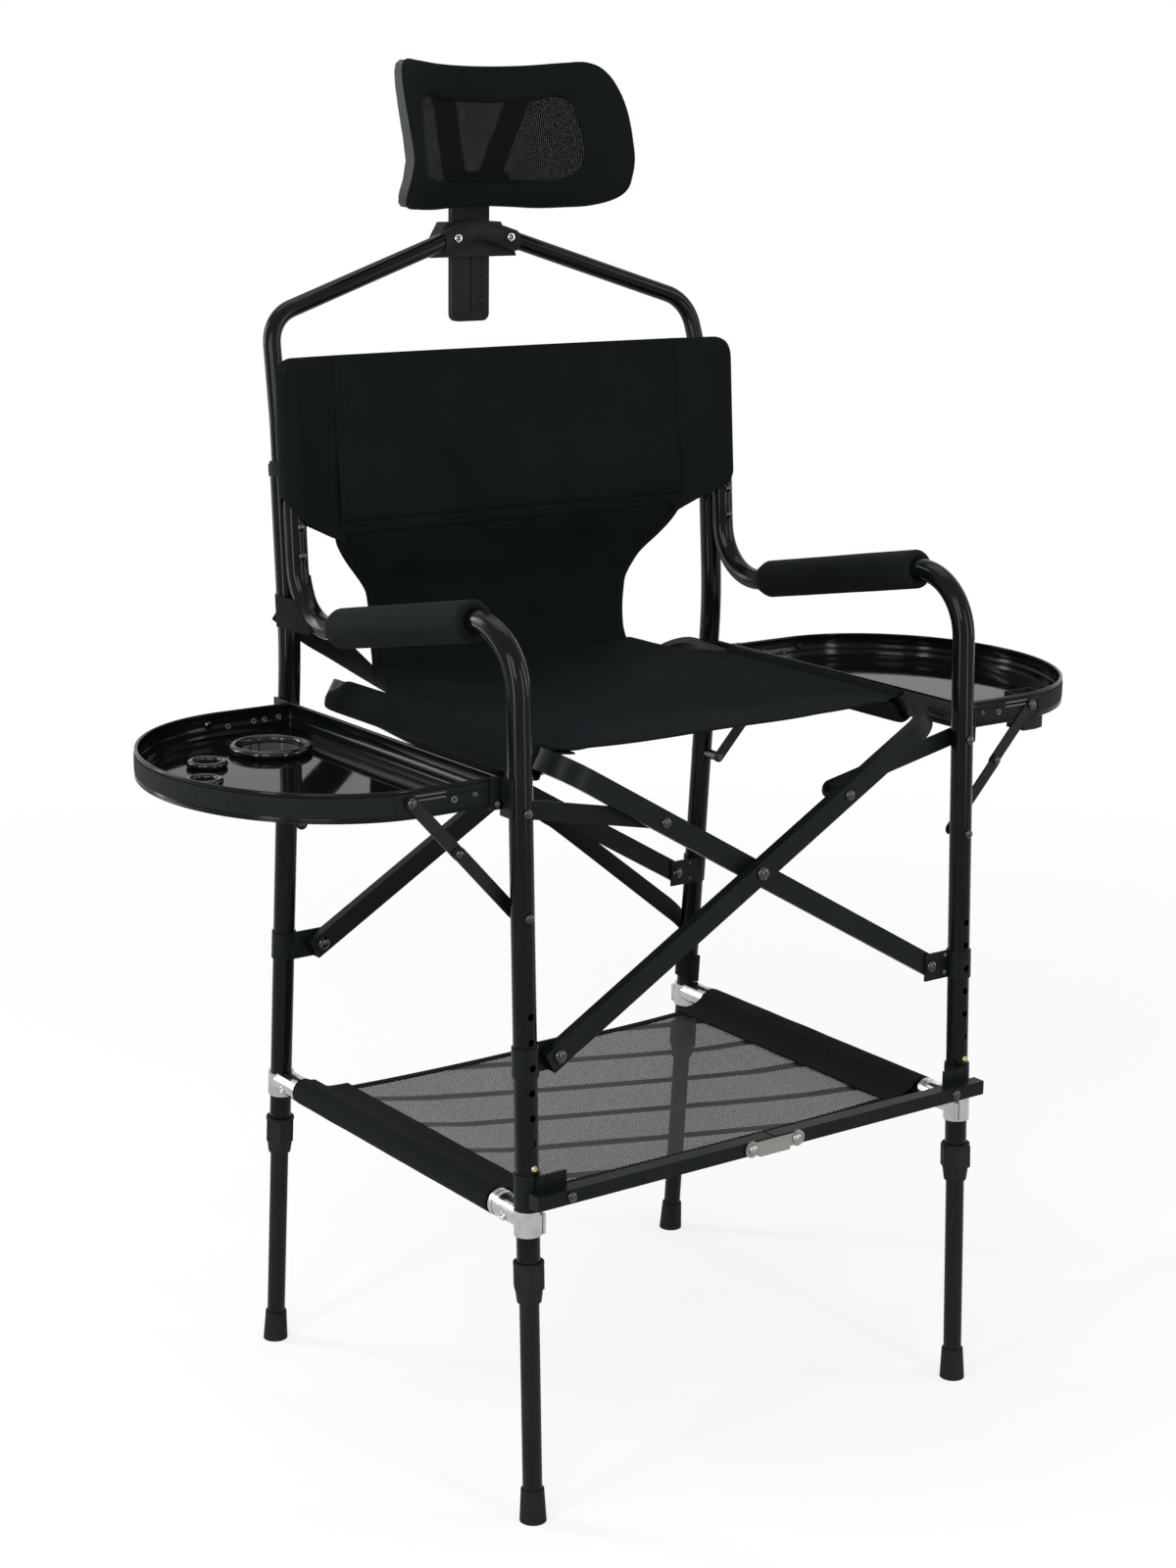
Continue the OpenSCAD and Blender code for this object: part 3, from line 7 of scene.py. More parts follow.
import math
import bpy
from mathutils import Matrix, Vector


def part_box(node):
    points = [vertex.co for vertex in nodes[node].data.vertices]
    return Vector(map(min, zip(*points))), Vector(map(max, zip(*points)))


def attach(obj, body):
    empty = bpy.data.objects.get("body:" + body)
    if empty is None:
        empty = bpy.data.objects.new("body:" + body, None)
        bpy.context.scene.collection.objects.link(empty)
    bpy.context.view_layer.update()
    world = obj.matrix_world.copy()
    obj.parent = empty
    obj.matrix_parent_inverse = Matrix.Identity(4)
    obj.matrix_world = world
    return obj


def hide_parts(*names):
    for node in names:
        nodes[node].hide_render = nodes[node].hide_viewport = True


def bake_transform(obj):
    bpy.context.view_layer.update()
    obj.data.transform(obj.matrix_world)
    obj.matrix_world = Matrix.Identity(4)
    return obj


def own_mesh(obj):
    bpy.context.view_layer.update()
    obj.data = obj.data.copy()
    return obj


bl_info = {
    "name": "Folding Makeup Chair",
    "version": (1, 0, 0),
    "blender": (4, 5, 0),
    "location": "3D View > Sidebar > Makeup Chair",
    "description": "Cloth, pads, headrest, trays, fasteners, finishes and studio of a folding makeup chair",
    "category": "Add Mesh",
}

import bmesh
import bpy
import numpy as np
from mathutils import Matrix, Vector

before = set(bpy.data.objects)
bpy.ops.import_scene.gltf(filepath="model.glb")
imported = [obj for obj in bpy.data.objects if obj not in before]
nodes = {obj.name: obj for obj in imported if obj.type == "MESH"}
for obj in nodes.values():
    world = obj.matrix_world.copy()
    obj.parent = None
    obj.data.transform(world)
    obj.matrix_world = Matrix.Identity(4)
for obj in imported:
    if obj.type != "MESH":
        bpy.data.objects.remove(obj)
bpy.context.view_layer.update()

# Sizes shared with the frame
LEFT, RIGHT = -1, 1
SIDE_NAME = {LEFT: "left", RIGHT: "right"}
# Half the distance between the legs, and the frame tube's radius
LEG_X, TUBE_R = 302.0, 12.5
# Middle of the tray floors, whose box in the frame gives the shift from the chair's middle to the frame
TRAY_MIDDLE = -17.6
floor_low, floor_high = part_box("left_tray_floor")
SHIFT = np.array([0.0, (floor_low.y + floor_high.y) * 500 - TRAY_MIDDLE, 0.0])
# Crossing seat frames: their angle, the rail and pivot as (x, z), their crossing, their tube and its faces
CROSS_ANGLE = math.radians(30.2)
RAIL = np.array([250.04, 806.48])
PIVOT = np.array([264.0, 507.3])
CROSS_Z = 660.96
MEMBER_T = 12.0
A_FRONT, B_FRONT, A_REAR, B_REAR = -260.3, -245.2, 212.71, 227.81
EAR_FRONT, EAR_REAR = -248.0, 225.01
# Legs, the post's kink and the hoop: a depth or height, then how much the axis leans for each unit up
FOOT_Y, FRONT_LEAN, REAR_LEAN = 272.6, 0.041, 0.0666
KINK_Z, POST_LEAN, UPRIGHT_AHEAD = 860.0, 0.075, 25.6
HOOP_START, HOOP_TOP, HOOP_LEAN = 1110.0, 1315.0, 0.285


def front_y(z):
    """Front leg axis at a height."""
    return -FOOT_Y + FRONT_LEAN * z


def rear_y(z):
    """Rear leg axis at a height."""
    return FOOT_Y - REAR_LEAN * z


def post_y(z):
    """Rear post axis above its kink."""
    return rear_y(KINK_Z) + POST_LEAN * (z - KINK_Z)


def upright_y(z):
    """Back upright axis, one tube and a gap ahead of the post."""
    return post_y(z) - UPRIGHT_AHEAD


def hoop_y(z):
    """Hoop axis, leaning back from its start."""
    return post_y(HOOP_START) + HOOP_LEAN * (z - HOOP_START)


def to_frame(points):
    """Millimetres on the chair's middle to metres in the frame."""
    return (np.asarray(points, float) + SHIFT) / 1000.0


# Numpy shapes
def smoothstep(low, high, x):
    """0 below low, 1 above high, and 3t^2 - 2t^3 between."""
    t = np.clip((np.asarray(x, float) - low) / (high - low), 0, 1)
    return t * t * (3 - 2 * t)


def through(points, count):
    """A smooth line through points: cubic pieces whose slope at a point joins its two neighbours."""
    p = np.asarray(points, float)
    step = np.linalg.norm(np.diff(p, axis=0), axis=1)
    s = np.concatenate([[0], np.cumsum(step)])
    slope = np.gradient(p, s, axis=0)
    t = np.linspace(0, s[-1], count)
    i = np.clip(np.searchsorted(s, t, side="right") - 1, 0, len(p) - 2)
    h = (s[i + 1] - s[i])[:, None]
    a = ((t - s[i])[:, None]) / h
    return (
        (1 + 2 * a) * (1 - a) ** 2 * p[i]
        + a * (1 - a) ** 2 * h * slope[i]
        + a * a * (3 - 2 * a) * p[i + 1]
        + a * a * (a - 1) * h * slope[i + 1]
    )


def closed_through(points, count):
    """A smooth closed line through points, without its last point."""
    p = np.asarray(points, float)
    long = np.concatenate([p[-3:], p, p[:4]])
    line = through(long, count * 12)
    near = [int(np.linalg.norm(line - q, axis=1)[a:b].argmin()) + a for q, a, b in (
        (p[0], 0, len(line) // 2), (p[0], len(line) // 2, len(line)))]
    line = line[near[0] : near[1] + 1]
    s = np.concatenate([[0], np.cumsum(np.linalg.norm(np.diff(line, axis=0), axis=1))])
    t = np.linspace(0, s[-1], count + 1)[:-1]
    return np.stack([np.interp(t, s, line[:, k]) for k in range(line.shape[1])], axis=1)


def value_at(pairs, x):
    """The smooth line through (place, value) pairs, read at x."""
    line = through(pairs, 400)
    return np.interp(x, line[:, 0], line[:, 1])


def grid(points, wrap_u=False, wrap_v=False):
    """Quads over a grid of points[u, v]. Face corners carry their own UV, so a wrapped seam stays closed."""
    p = np.asarray(points, float)
    nu, nv = p.shape[:2]
    i, j = np.meshgrid(
        np.arange(nu if wrap_u else nu - 1), np.arange(nv if wrap_v else nv - 1), indexing="ij"
    )
    corners = [(0, 0), (1, 0), (1, 1), (0, 1)]
    faces = np.stack([((i + a) % nu) * nv + (j + b) % nv for a, b in corners], axis=-1).reshape(-1, 4)
    u_len = np.linalg.norm(np.diff(p[:, nv // 2], axis=0), axis=1).cumsum()
    v_len = np.linalg.norm(np.diff(p[nu // 2], axis=0), axis=1).cumsum()
    u_line = np.concatenate([[0], u_len, [u_len[-1] * nu / (nu - 1)]])
    v_line = np.concatenate([[0], v_len, [v_len[-1] * nv / (nv - 1)]])
    at = np.stack([np.stack([u_line[i + a], v_line[j + b]], axis=-1) for a, b in corners], axis=2)
    return p.reshape(-1, 3), faces, at.reshape(-1, 4, 2) / 1000.0


def join(*parts):
    """Several shapes as one."""
    start, points, faces, uvs = 0, [], [], []
    for p, f, t in parts:
        points.append(p)
        faces.append(f + start)
        uvs.append(t)
        start += len(p)
    return np.concatenate(points), np.concatenate(faces), np.concatenate(uvs)


def carry(profile, path, across, closed=False, wrap=True):
    """A profile carried along a path; its points keep their distances along across and across x heading.

    A wrapped profile gets end faces that close it, unless the path is closed."""
    path, profile = np.asarray(path, float), np.asarray(profile, float)
    heading = np.roll(path, -1, 0) - np.roll(path, 1, 0) if closed else np.gradient(path, axis=0)
    heading /= np.linalg.norm(heading, axis=1)[:, None]
    side = np.broadcast_to(np.asarray(across, float), path.shape)
    side = side - (side * heading).sum(1)[:, None] * heading
    side = side / np.linalg.norm(side, axis=1)[:, None]
    up = np.cross(heading, side)
    ring = (
        path[:, None]
        + profile[None, :, 0, None] * side[:, None]
        + profile[None, :, 1, None] * up[:, None]
    )
    if wrap and not closed:
        first, last = ring[:1].mean(1, keepdims=True), ring[-1:].mean(1, keepdims=True)
        n = len(profile)
        ring = np.concatenate([np.repeat(first, n, 1), ring, np.repeat(last, n, 1)])
    return grid(ring, wrap_u=closed, wrap_v=wrap)


def circle(radius, count=24, squash=1.0):
    """Points round a circle or an ellipse."""
    a = np.arange(count) * 2 * math.pi / count
    return np.stack([radius * np.cos(a), radius * squash * np.sin(a)], axis=1)


def lathe(profile, origin, axis, count=32):
    """A profile of (radius, distance along the axis) turned about the axis."""
    profile, axis = np.asarray(profile, float), np.asarray(axis, float)
    axis = axis / np.linalg.norm(axis)
    first = np.cross(axis, [1.0, 0, 0] if abs(axis[0]) < 0.8 else [0, 1.0, 0])
    first /= np.linalg.norm(first)
    second = np.cross(axis, first)
    a = np.arange(count) * 2 * math.pi / count
    spoke = np.cos(a)[:, None] * first + np.sin(a)[:, None] * second
    ring = (
        np.asarray(origin, float)
        + profile[None, :, 0, None] * spoke[:, None]
        + profile[None, :, 1, None] * axis
    )
    return grid(ring, wrap_u=True)


def spaced(line, step):
    """The same line with points an even step apart."""
    line = np.asarray(line, float)
    s = np.concatenate([[0], np.cumsum(np.linalg.norm(np.diff(line, axis=0), axis=1))])
    t = np.linspace(0, s[-1], max(2, int(round(s[-1] / step)) + 1))
    return np.stack([np.interp(t, s, line[:, k]) for k in range(3)], axis=1)


def stitches(line, normal, length=3.0, gap=1.4, width=0.7, rise=0.35):
    """Sewing thread along a line: one long low lozenge for each stitch, eight faces each."""
    line = spaced(line, (length + gap) / 2)
    if len(line) < 5:
        return None
    mid = line[1:-1:2]
    n = len(mid)
    heading = (line[2::2][:n] - line[0::2][:n])
    heading /= np.maximum(np.linalg.norm(heading, axis=1), 1e-9)[:, None]
    up = np.broadcast_to(np.asarray(normal, float), mid.shape)
    up = up / np.linalg.norm(up, axis=1)[:, None]
    side = np.cross(up, heading)
    a, w, r = heading * length / 2, side * width / 2, up * rise
    p = np.stack([mid - a, mid + w, mid + a, mid - w, mid + r, mid - r * 0.6], axis=1)
    tri = np.array([[0, 3, 4, 4], [3, 2, 4, 4], [2, 1, 4, 4], [1, 0, 4, 4],
                    [3, 0, 5, 5], [2, 3, 5, 5], [1, 2, 5, 5], [0, 1, 5, 5]])
    faces = (tri[None] + (np.arange(n) * 6)[:, None, None]).reshape(-1, 4)
    return p.reshape(-1, 3), faces, np.zeros((len(faces), 4, 2))


def dome(x, z, y, way, radius, height):
    """A rivet or bolt head along Y: a quarter ellipse turned about its axis, with a low skirt."""
    t = np.linspace(0, math.pi / 2, 7)
    r, h = radius + 0.25, height + 0.9
    profile = [(r, -0.05)] + [(r * math.cos(a), 0.25 + (h - 0.25) * math.sin(a)) for a in t]
    return lathe([(0, -0.05)] + profile, (x, y, z), (0, way, 0), 20)


def folds(x, z, lines):
    """Soft creases: for each (x0, z0, x1, z1, width, height), a bell across a line, fading at its ends."""
    total = np.zeros(np.broadcast(x, z).shape)
    for x0, z0, x1, z1, width, height in lines:
        d = np.array([x1 - x0, z1 - z0])
        length = np.linalg.norm(d)
        d = d / length
        along = (x - x0) * d[0] + (z - z0) * d[1]
        off = (x - x0) * -d[1] + (z - z0) * d[0]
        fade = np.exp(-np.clip(np.maximum(-along, along - length), 0, None) ** 2 / (2 * (width * 1.6) ** 2))
        total = total + height * np.exp(-(off**2) / (2 * width**2)) * fade
    return total


def wander(a, b, size, seed):
    """Low seeded waves over two parameters, a sum of eight sines of random direction."""
    r = np.random.default_rng(seed)
    total = np.zeros(np.broadcast(a, b).shape)
    for _ in range(8):
        turn, phase, rate = r.uniform(0, math.pi), r.uniform(0, 2 * math.pi), r.uniform(0.6, 1.8)
        total = total + np.sin((a * math.cos(turn) + b * math.sin(turn)) * rate / size + phase)
    return total / 8


def make_piece(name, shape, material, smooth=True, turn_out=True):
    """A mesh object from a shape, at the origin, with its doubles merged and its faces pointing outwards."""
    points, faces, uv = shape
    mesh = bpy.data.meshes.new(name)
    bm = bmesh.new()
    layer = bm.loops.layers.uv.new("UVMap")
    verts = [bm.verts.new(p) for p in to_frame(points).tolist()]
    for corners, places in zip(faces.tolist(), uv.tolist()):
        kept, spots = [], []
        for c, place in zip(corners, places):
            if c not in kept:
                kept.append(c)
                spots.append(place)
        if len(kept) > 2:
            face = bm.faces.new([verts[c] for c in kept])
            for loop, place in zip(face.loops, spots):
                loop[layer].uv = place
    bmesh.ops.remove_doubles(bm, verts=bm.verts, dist=2e-6)
    bmesh.ops.dissolve_degenerate(bm, edges=bm.edges, dist=1e-7)
    if turn_out:
        bmesh.ops.recalc_face_normals(bm, faces=bm.faces)
    for face in bm.faces:
        face.smooth = smooth
    bm.to_mesh(mesh)
    bm.free()
    mesh.materials.append(material)
    piece = bpy.data.objects.new(name, mesh)
    bpy.context.scene.collection.objects.link(piece)
    return piece


def thicken(piece, thickness, offset=0.0):
    """Gives a cloth its thickness, in millimetres."""
    wall = piece.modifiers.new("Thickness", "SOLIDIFY")
    wall.thickness, wall.offset = thickness / 1000.0, offset
    wall.use_even_offset = False


def sharp_at(piece, degrees):
    """Keeps edges steeper than an angle sharp, so flat faces stay flat."""
    chosen = {
        "object": piece, "active_object": piece, "selected_objects": [piece],
        "selected_editable_objects": [piece],
    }
    with bpy.context.temp_override(**chosen):
        bpy.ops.object.shade_smooth_by_angle(angle=math.radians(degrees))


# Sizes and colours that a user may change
def millimetres(name, text, value, low, high):
    """A length property in millimetres, with its range."""
    return bpy.props.FloatProperty(name=name, description=text, default=value, min=low, max=high)


class ChairSizes(bpy.types.PropertyGroup):
    """Sizes of the pieces that are made here, in millimetres."""

    cloth: millimetres("Cloth", "Thickness of the seat and back cloth", 2.0, 0.8, 3)
    binding: millimetres("Binding", "Width of the tape on the cloth's edges", 9.0, 4, 14)
    seat_sag: millimetres("Seat sag", "Sag of the seat cloth in the middle", 14.0, 4, 25)
    fold_height: millimetres("Fold height", "Height of the soft folds in the cloth", 2.6, 0, 5)
    stitch: millimetres("Stitch", "Length of one stitch", 3.4, 2, 6)
    pad_radius: millimetres("Pad radius", "Radius of the arm foam", 22.5, 18, 24)
    strap: millimetres("Strap width", "Width of the carrying strap", 38.0, 25, 40)
    band: millimetres("Band stand-out", "How far the grained band of a tray stands out", 1.2, 0.4, 2)
    rivet: millimetres("Rivet dome", "Height of a rivet's dome", 3.2, 2, 4)
    net_step: millimetres("Net step", "Distance between the slits of the shelf net", 3.2, 2.5, 6)
    mesh_step: millimetres("Mesh step", "Distance between the holes of the headrest net", 2.2, 1.5, 4)


def colour(name, text, value):
    """A colour property with its name, description and default."""
    return bpy.props.FloatVectorProperty(
        name=name, description=text, default=value, size=3, subtype="COLOR", min=0, max=1,
    )


class ChairFinish(bpy.types.PropertyGroup):
    """Colours of the finishes."""

    paint: colour("Frame paint", "Gloss paint of the frame tubes", (0.0024, 0.0034, 0.0034))
    satin: colour("Satin paint", "Paint of the seat frames, brackets and bars", (0.0036, 0.0052, 0.0053))
    charcoal: colour("Charcoal", "Paint of the telescopic legs", (0.0065, 0.0075, 0.0075))
    cloth: colour("Cloth", "Woven cloth of seat and back", (0.0036, 0.005, 0.0052))
    foam: colour("Foam", "Foam of the arm pads", (0.0024, 0.004, 0.0038))
    webbing: colour("Webbing", "Webbing and binding tape", (0.0032, 0.0038, 0.0042))
    net: colour("Net", "Headrest and shelf net", (0.003, 0.0042, 0.0046))
    plastic: colour("Plastic", "Moulded headrest parts and collars", (0.006, 0.0078, 0.0079))
    tray: colour("Tray", "Gloss floor of the trays", (0.0028, 0.0034, 0.0034))
    band: colour("Tray band", "Grained band round the trays", (0.0048, 0.0066, 0.0068))
    stay: colour("Stays", "Satin metal of the tray stays", (0.0035, 0.0052, 0.0054))
    chrome: colour("Chrome", "Shelf clamps and screws", (0.42, 0.43, 0.44))
    plate: colour("Bar plate", "Satin plate in the middle of the bar", (0.27, 0.285, 0.25))
    brass: colour("Brass", "Snap buttons", (0.52, 0.41, 0.2))
    floor: colour("Floor", "Studio floor", (0.83, 0.83, 0.83))


# Material trees
def add(tree, kind, inputs=None, **settings):
    """One node: its settings, then its values or links by the name or number of the socket."""
    made = tree.nodes.new(kind)
    for key, value in settings.items():
        setattr(made, key, value)
    for key, value in (inputs or {}).items():
        if isinstance(value, bpy.types.NodeSocket):
            tree.links.new(value, made.inputs[key])
        else:
            made.inputs[key].default_value = value
    return made


def maths(tree, operation, a, b=0.0, c=None):
    """A Math node's result."""
    inputs = {0: a, 1: b}
    if c is not None:
        inputs[2] = c
    return add(tree, "ShaderNodeMath", inputs, operation=operation).outputs[0]


def ramp(tree, fac, low, high, start=(0, 0, 0), end=(1, 1, 1)):
    """A colour ramp between two places."""
    made = add(tree, "ShaderNodeValToRGB", {"Fac": fac})
    made.color_ramp.elements[0].position, made.color_ramp.elements[1].position = low, high
    made.color_ramp.elements[0].color = (*start, 1)
    made.color_ramp.elements[1].color = (*end, 1)
    return made.outputs["Color"]


def mix(tree, fac, a, b, blend="MIX"):
    """A colour mix; a and b are colours or sockets."""
    made = tree.nodes.new("ShaderNodeMix")
    made.data_type, made.blend_type = "RGBA", blend
    for key, value in ((0, fac), (6, a), (7, b)):
        if isinstance(value, bpy.types.NodeSocket):
            tree.links.new(value, made.inputs[key])
        else:
            made.inputs[key].default_value = value if key == 0 else (*value[:3], 1)
    return made.outputs[2]


def new_group(name, inputs, outputs):
    """A node group with its sockets: (name, kind, default) in, (name, kind) out."""
    tree = bpy.data.node_groups.new(name, "ShaderNodeTree")
    for label, kind, default in inputs:
        socket = tree.interface.new_socket(name=label, in_out="INPUT", socket_type="NodeSocket" + kind)
        if default is not None:
            socket.default_value = default
    for label, kind in outputs:
        tree.interface.new_socket(name=label, in_out="OUTPUT", socket_type="NodeSocket" + kind)
    return tree, tree.nodes.new("NodeGroupInput").outputs, tree.nodes.new("NodeGroupOutput").inputs


COLOUR_IN = ("Colour", "Color", (0.01, 0.01, 0.01, 1))
FINISH_OUT = [("Color", "Color"), ("Roughness", "Float"), ("Normal", "Vector")]


def noise(tree, where, scale, detail):
    """A noise texture's value."""
    made = add(tree, "ShaderNodeTexNoise", {"Vector": where, "Scale": scale, "Detail": detail})
    return made.outputs["Fac"]


def bumped(tree, target, height, strength, distance):
    """Links a bump of a height in metres to a normal socket."""
    bump = add(tree, "ShaderNodeBump", {"Strength": strength, "Distance": distance, "Height": height})
    tree.links.new(bump.outputs["Normal"], target)


def worn_paint_group():
    """Paint: a fine orange peel, faint clouds in the gloss, and dust grey where the clouds are thick."""
    tree, i, o = new_group(
        "Worn Paint",
        [("Vector", "Vector", None), COLOUR_IN, ("Gloss", "Float", 0.3), ("Peel", "Float", 0.1)],
        FINISH_OUT,
    )
    cloud = noise(tree, i["Vector"], 23.0, 4.0)
    fine = noise(tree, i["Vector"], 900.0, 2.0)
    dust = ramp(tree, cloud, 0.5, 0.82, (0, 0, 0), (0.16, 0.16, 0.16))
    tree.links.new(mix(tree, dust, i["Colour"], (0.02, 0.021, 0.021)), o["Color"])
    uneven = maths(tree, "MULTIPLY", maths(tree, "SUBTRACT", cloud, 0.5), 0.16)
    tree.links.new(maths(tree, "ADD", i["Gloss"], uneven), o["Roughness"])
    bumped(tree, o["Normal"], fine, i["Peel"], 0.0002)
    return tree


def woven_group():
    """Cloth: two crossed waves for the threads, broken up by noise; threads that stand up get a painted
    highlight, a lighter colour.
    """
    tree, i, o = new_group(
        "Woven Threads",
        [("Vector", "Vector", None), COLOUR_IN, ("Thread", "Float", 900.0), ("Relief", "Float", 0.5)],
        FINISH_OUT,
    )
    scale = add(tree, "ShaderNodeVectorMath", {0: i["Vector"]}, operation="SCALE")
    tree.links.new(i["Thread"], scale.inputs["Scale"])
    parts = add(tree, "ShaderNodeSeparateXYZ", {0: scale.outputs[0]})
    warp = maths(tree, "SINE", maths(tree, "MULTIPLY", parts.outputs[0], 6.2832))
    weft = maths(tree, "SINE", maths(tree, "MULTIPLY", parts.outputs[1], 6.2832))
    weave = maths(tree, "MULTIPLY_ADD", maths(tree, "MULTIPLY", warp, weft), 0.5, 0.5)
    lint = noise(tree, scale.outputs[0], 0.55, 3.0)
    patch = noise(tree, i["Vector"], 9.0, 5.0)
    height = maths(tree, "ADD", weave, maths(tree, "MULTIPLY", lint, 0.8))
    # painted highlight: the colour is lighter where the threads stand up
    lit = mix(tree, maths(tree, "MULTIPLY", height, 0.5), i["Colour"], (0.0075, 0.0095, 0.0105))
    worn = mix(tree, ramp(tree, patch, 0.42, 0.72), lit, (0.75, 0.78, 0.8), "MULTIPLY")
    tree.links.new(worn, o["Color"])
    tree.links.new(maths(tree, "MULTIPLY_ADD", lint, 0.2, 0.72), o["Roughness"])
    bumped(tree, o["Normal"], height, i["Relief"], 0.0006)
    return tree


def pored_group():
    """Foam and grained plastic: cells of two sizes, with painted shade in the pits and a painted highlight on
    the rims.
    """
    tree, i, o = new_group(
        "Pores",
        [("Vector", "Vector", None), COLOUR_IN, ("Size", "Float", 700.0), ("Relief", "Float", 0.5)],
        FINISH_OUT,
    )
    cell = add(
        tree, "ShaderNodeTexVoronoi", {"Vector": i["Vector"], "Scale": i["Size"]},
    ).outputs["Distance"]
    grain = noise(tree, i["Vector"], maths(tree, "MULTIPLY", i["Size"], 0.4), 5.0)
    cloud = noise(tree, i["Vector"], 17.0, 3.0)
    height = maths(tree, "ADD", cell, grain)
    # painted shade in the pits and painted highlight on the rims, mixed by the cells' height
    lit = mix(tree, maths(tree, "MULTIPLY", height, 0.45), i["Colour"], (0.011, 0.0125, 0.013))
    tree.links.new(mix(tree, ramp(tree, cloud, 0.35, 0.75), lit, (0.7, 0.72, 0.72), "MULTIPLY"), o["Color"])
    tree.links.new(maths(tree, "MULTIPLY_ADD", grain, 0.25, 0.6), o["Roughness"])
    bumped(tree, o["Normal"], height, i["Relief"], 0.0007)
    return tree


def slit_group():
    """Open net: slits in rows, each cut by cross threads; the mask is 1 on thread and 0 in a slit."""
    tree, i, o = new_group(
        "Slits",
        [
            ("Vector", "Vector", None), ("Across", "Float", 230.0), ("Along", "Float", 200.0),
            ("Open", "Float", 0.5), ("Cut", "Float", 0.75),
        ],
        [("Mask", "Float"), ("Height", "Float")],
    )
    parts = add(tree, "ShaderNodeSeparateXYZ", {0: i["Vector"]})
    u = maths(tree, "MULTIPLY", parts.outputs[0], i["Across"])
    v = maths(tree, "MULTIPLY", parts.outputs[1], i["Along"])
    row = maths(tree, "FLOOR", u)
    v = maths(tree, "ADD", v, maths(tree, "MULTIPLY", row, 0.37))
    du = maths(tree, "ABSOLUTE", maths(tree, "SUBTRACT", maths(tree, "FRACT", u), 0.5))
    dv = maths(tree, "ABSOLUTE", maths(tree, "SUBTRACT", maths(tree, "FRACT", v), 0.5))
    slit_u = maths(tree, "LESS_THAN", du, maths(tree, "MULTIPLY", i["Open"], 0.5))
    slit_v = maths(tree, "LESS_THAN", dv, maths(tree, "MULTIPLY", i["Cut"], 0.5))
    hole = maths(tree, "MULTIPLY", slit_u, slit_v)
    tree.links.new(maths(tree, "SUBTRACT", 1.0, hole), o["Mask"])
    tree.links.new(maths(tree, "ADD", du, dv), o["Height"])
    return tree


GROUPS = {}


def group_node(tree, name, inputs):
    """A node that holds one of the shared groups."""
    made = tree.nodes.new("ShaderNodeGroup")
    made.node_tree = GROUPS[name]
    for key, value in inputs.items():
        if isinstance(value, bpy.types.NodeSocket):
            tree.links.new(value, made.inputs[key])
        else:
            made.inputs[key].default_value = (*value, 1) if isinstance(value, tuple) else value
    return made


def new_material(name, **plain):
    """A material with one Principled shader, whose plain values are set on its own sockets."""
    material = bpy.data.materials.new(name)
    material.use_nodes = True
    shader = material.node_tree.nodes["Principled BSDF"]
    for key, value in plain.items():
        socket = shader.inputs[key.replace("_", " ")]
        socket.default_value = (*value, 1) if isinstance(value, tuple) else value
    return material, material.node_tree, shader


def place_of(tree, kind="Object"):
    """The coordinates that a pattern is laid on."""
    return tree.nodes.new("ShaderNodeTexCoord").outputs[kind]


def dress(name, group, colour_value, inputs, coordinates="Object", **plain):
    """A material whose colour, roughness and normal come from one shared group."""
    material, tree, shader = new_material(name, **plain)
    made = group_node(
        tree, group, {"Vector": place_of(tree, coordinates), "Colour": tuple(colour_value), **inputs},
    )
    tree.links.new(made.outputs["Color"], shader.inputs["Base Color"])
    tree.links.new(made.outputs["Roughness"], shader.inputs["Roughness"])
    tree.links.new(made.outputs["Normal"], shader.inputs["Normal"])
    return material


MATERIALS = {}


def chrome_material(finish):
    """Bright plate: a mirror whose colour is darker in faint clouds."""
    material, tree, shader = new_material("Bright Plate", Metallic=1.0)
    cloud = noise(tree, place_of(tree), 60.0, 4.0)
    dark_clouds = ramp(tree, cloud, 0.45, 0.8)
    tree.links.new(mix(tree, dark_clouds, tuple(finish.chrome), (0.3, 0.305, 0.31)), shader.inputs["Base Color"])
    tree.links.new(maths(tree, "MULTIPLY_ADD", cloud, 0.14, 0.14), shader.inputs["Roughness"])
    bumped(tree, shader.inputs["Normal"], cloud, 0.1, 0.0004)
    return material


def brushed_material(name, tint, stretch, roughness):
    """Metal brushed along one direction: noise stretched along it."""
    material, tree, shader = new_material(name, Metallic=1.0)
    where = add(tree, "ShaderNodeMapping", {"Vector": place_of(tree), "Scale": stretch})
    grain = noise(tree, where.outputs[0], 40.0, 5.0)
    dark = tuple(c * 0.72 for c in tint)
    tree.links.new(mix(tree, grain, dark, tuple(tint)), shader.inputs["Base Color"])
    tree.links.new(maths(tree, "MULTIPLY_ADD", grain, 0.18, roughness), shader.inputs["Roughness"])
    bumped(tree, shader.inputs["Normal"], grain, 0.12, 0.0002)
    return material


BAND_SLOPE, BANDS_PER_METRE, BAND_START, BAND_SHARE = 0.38, 10.2, 0.73, 0.17


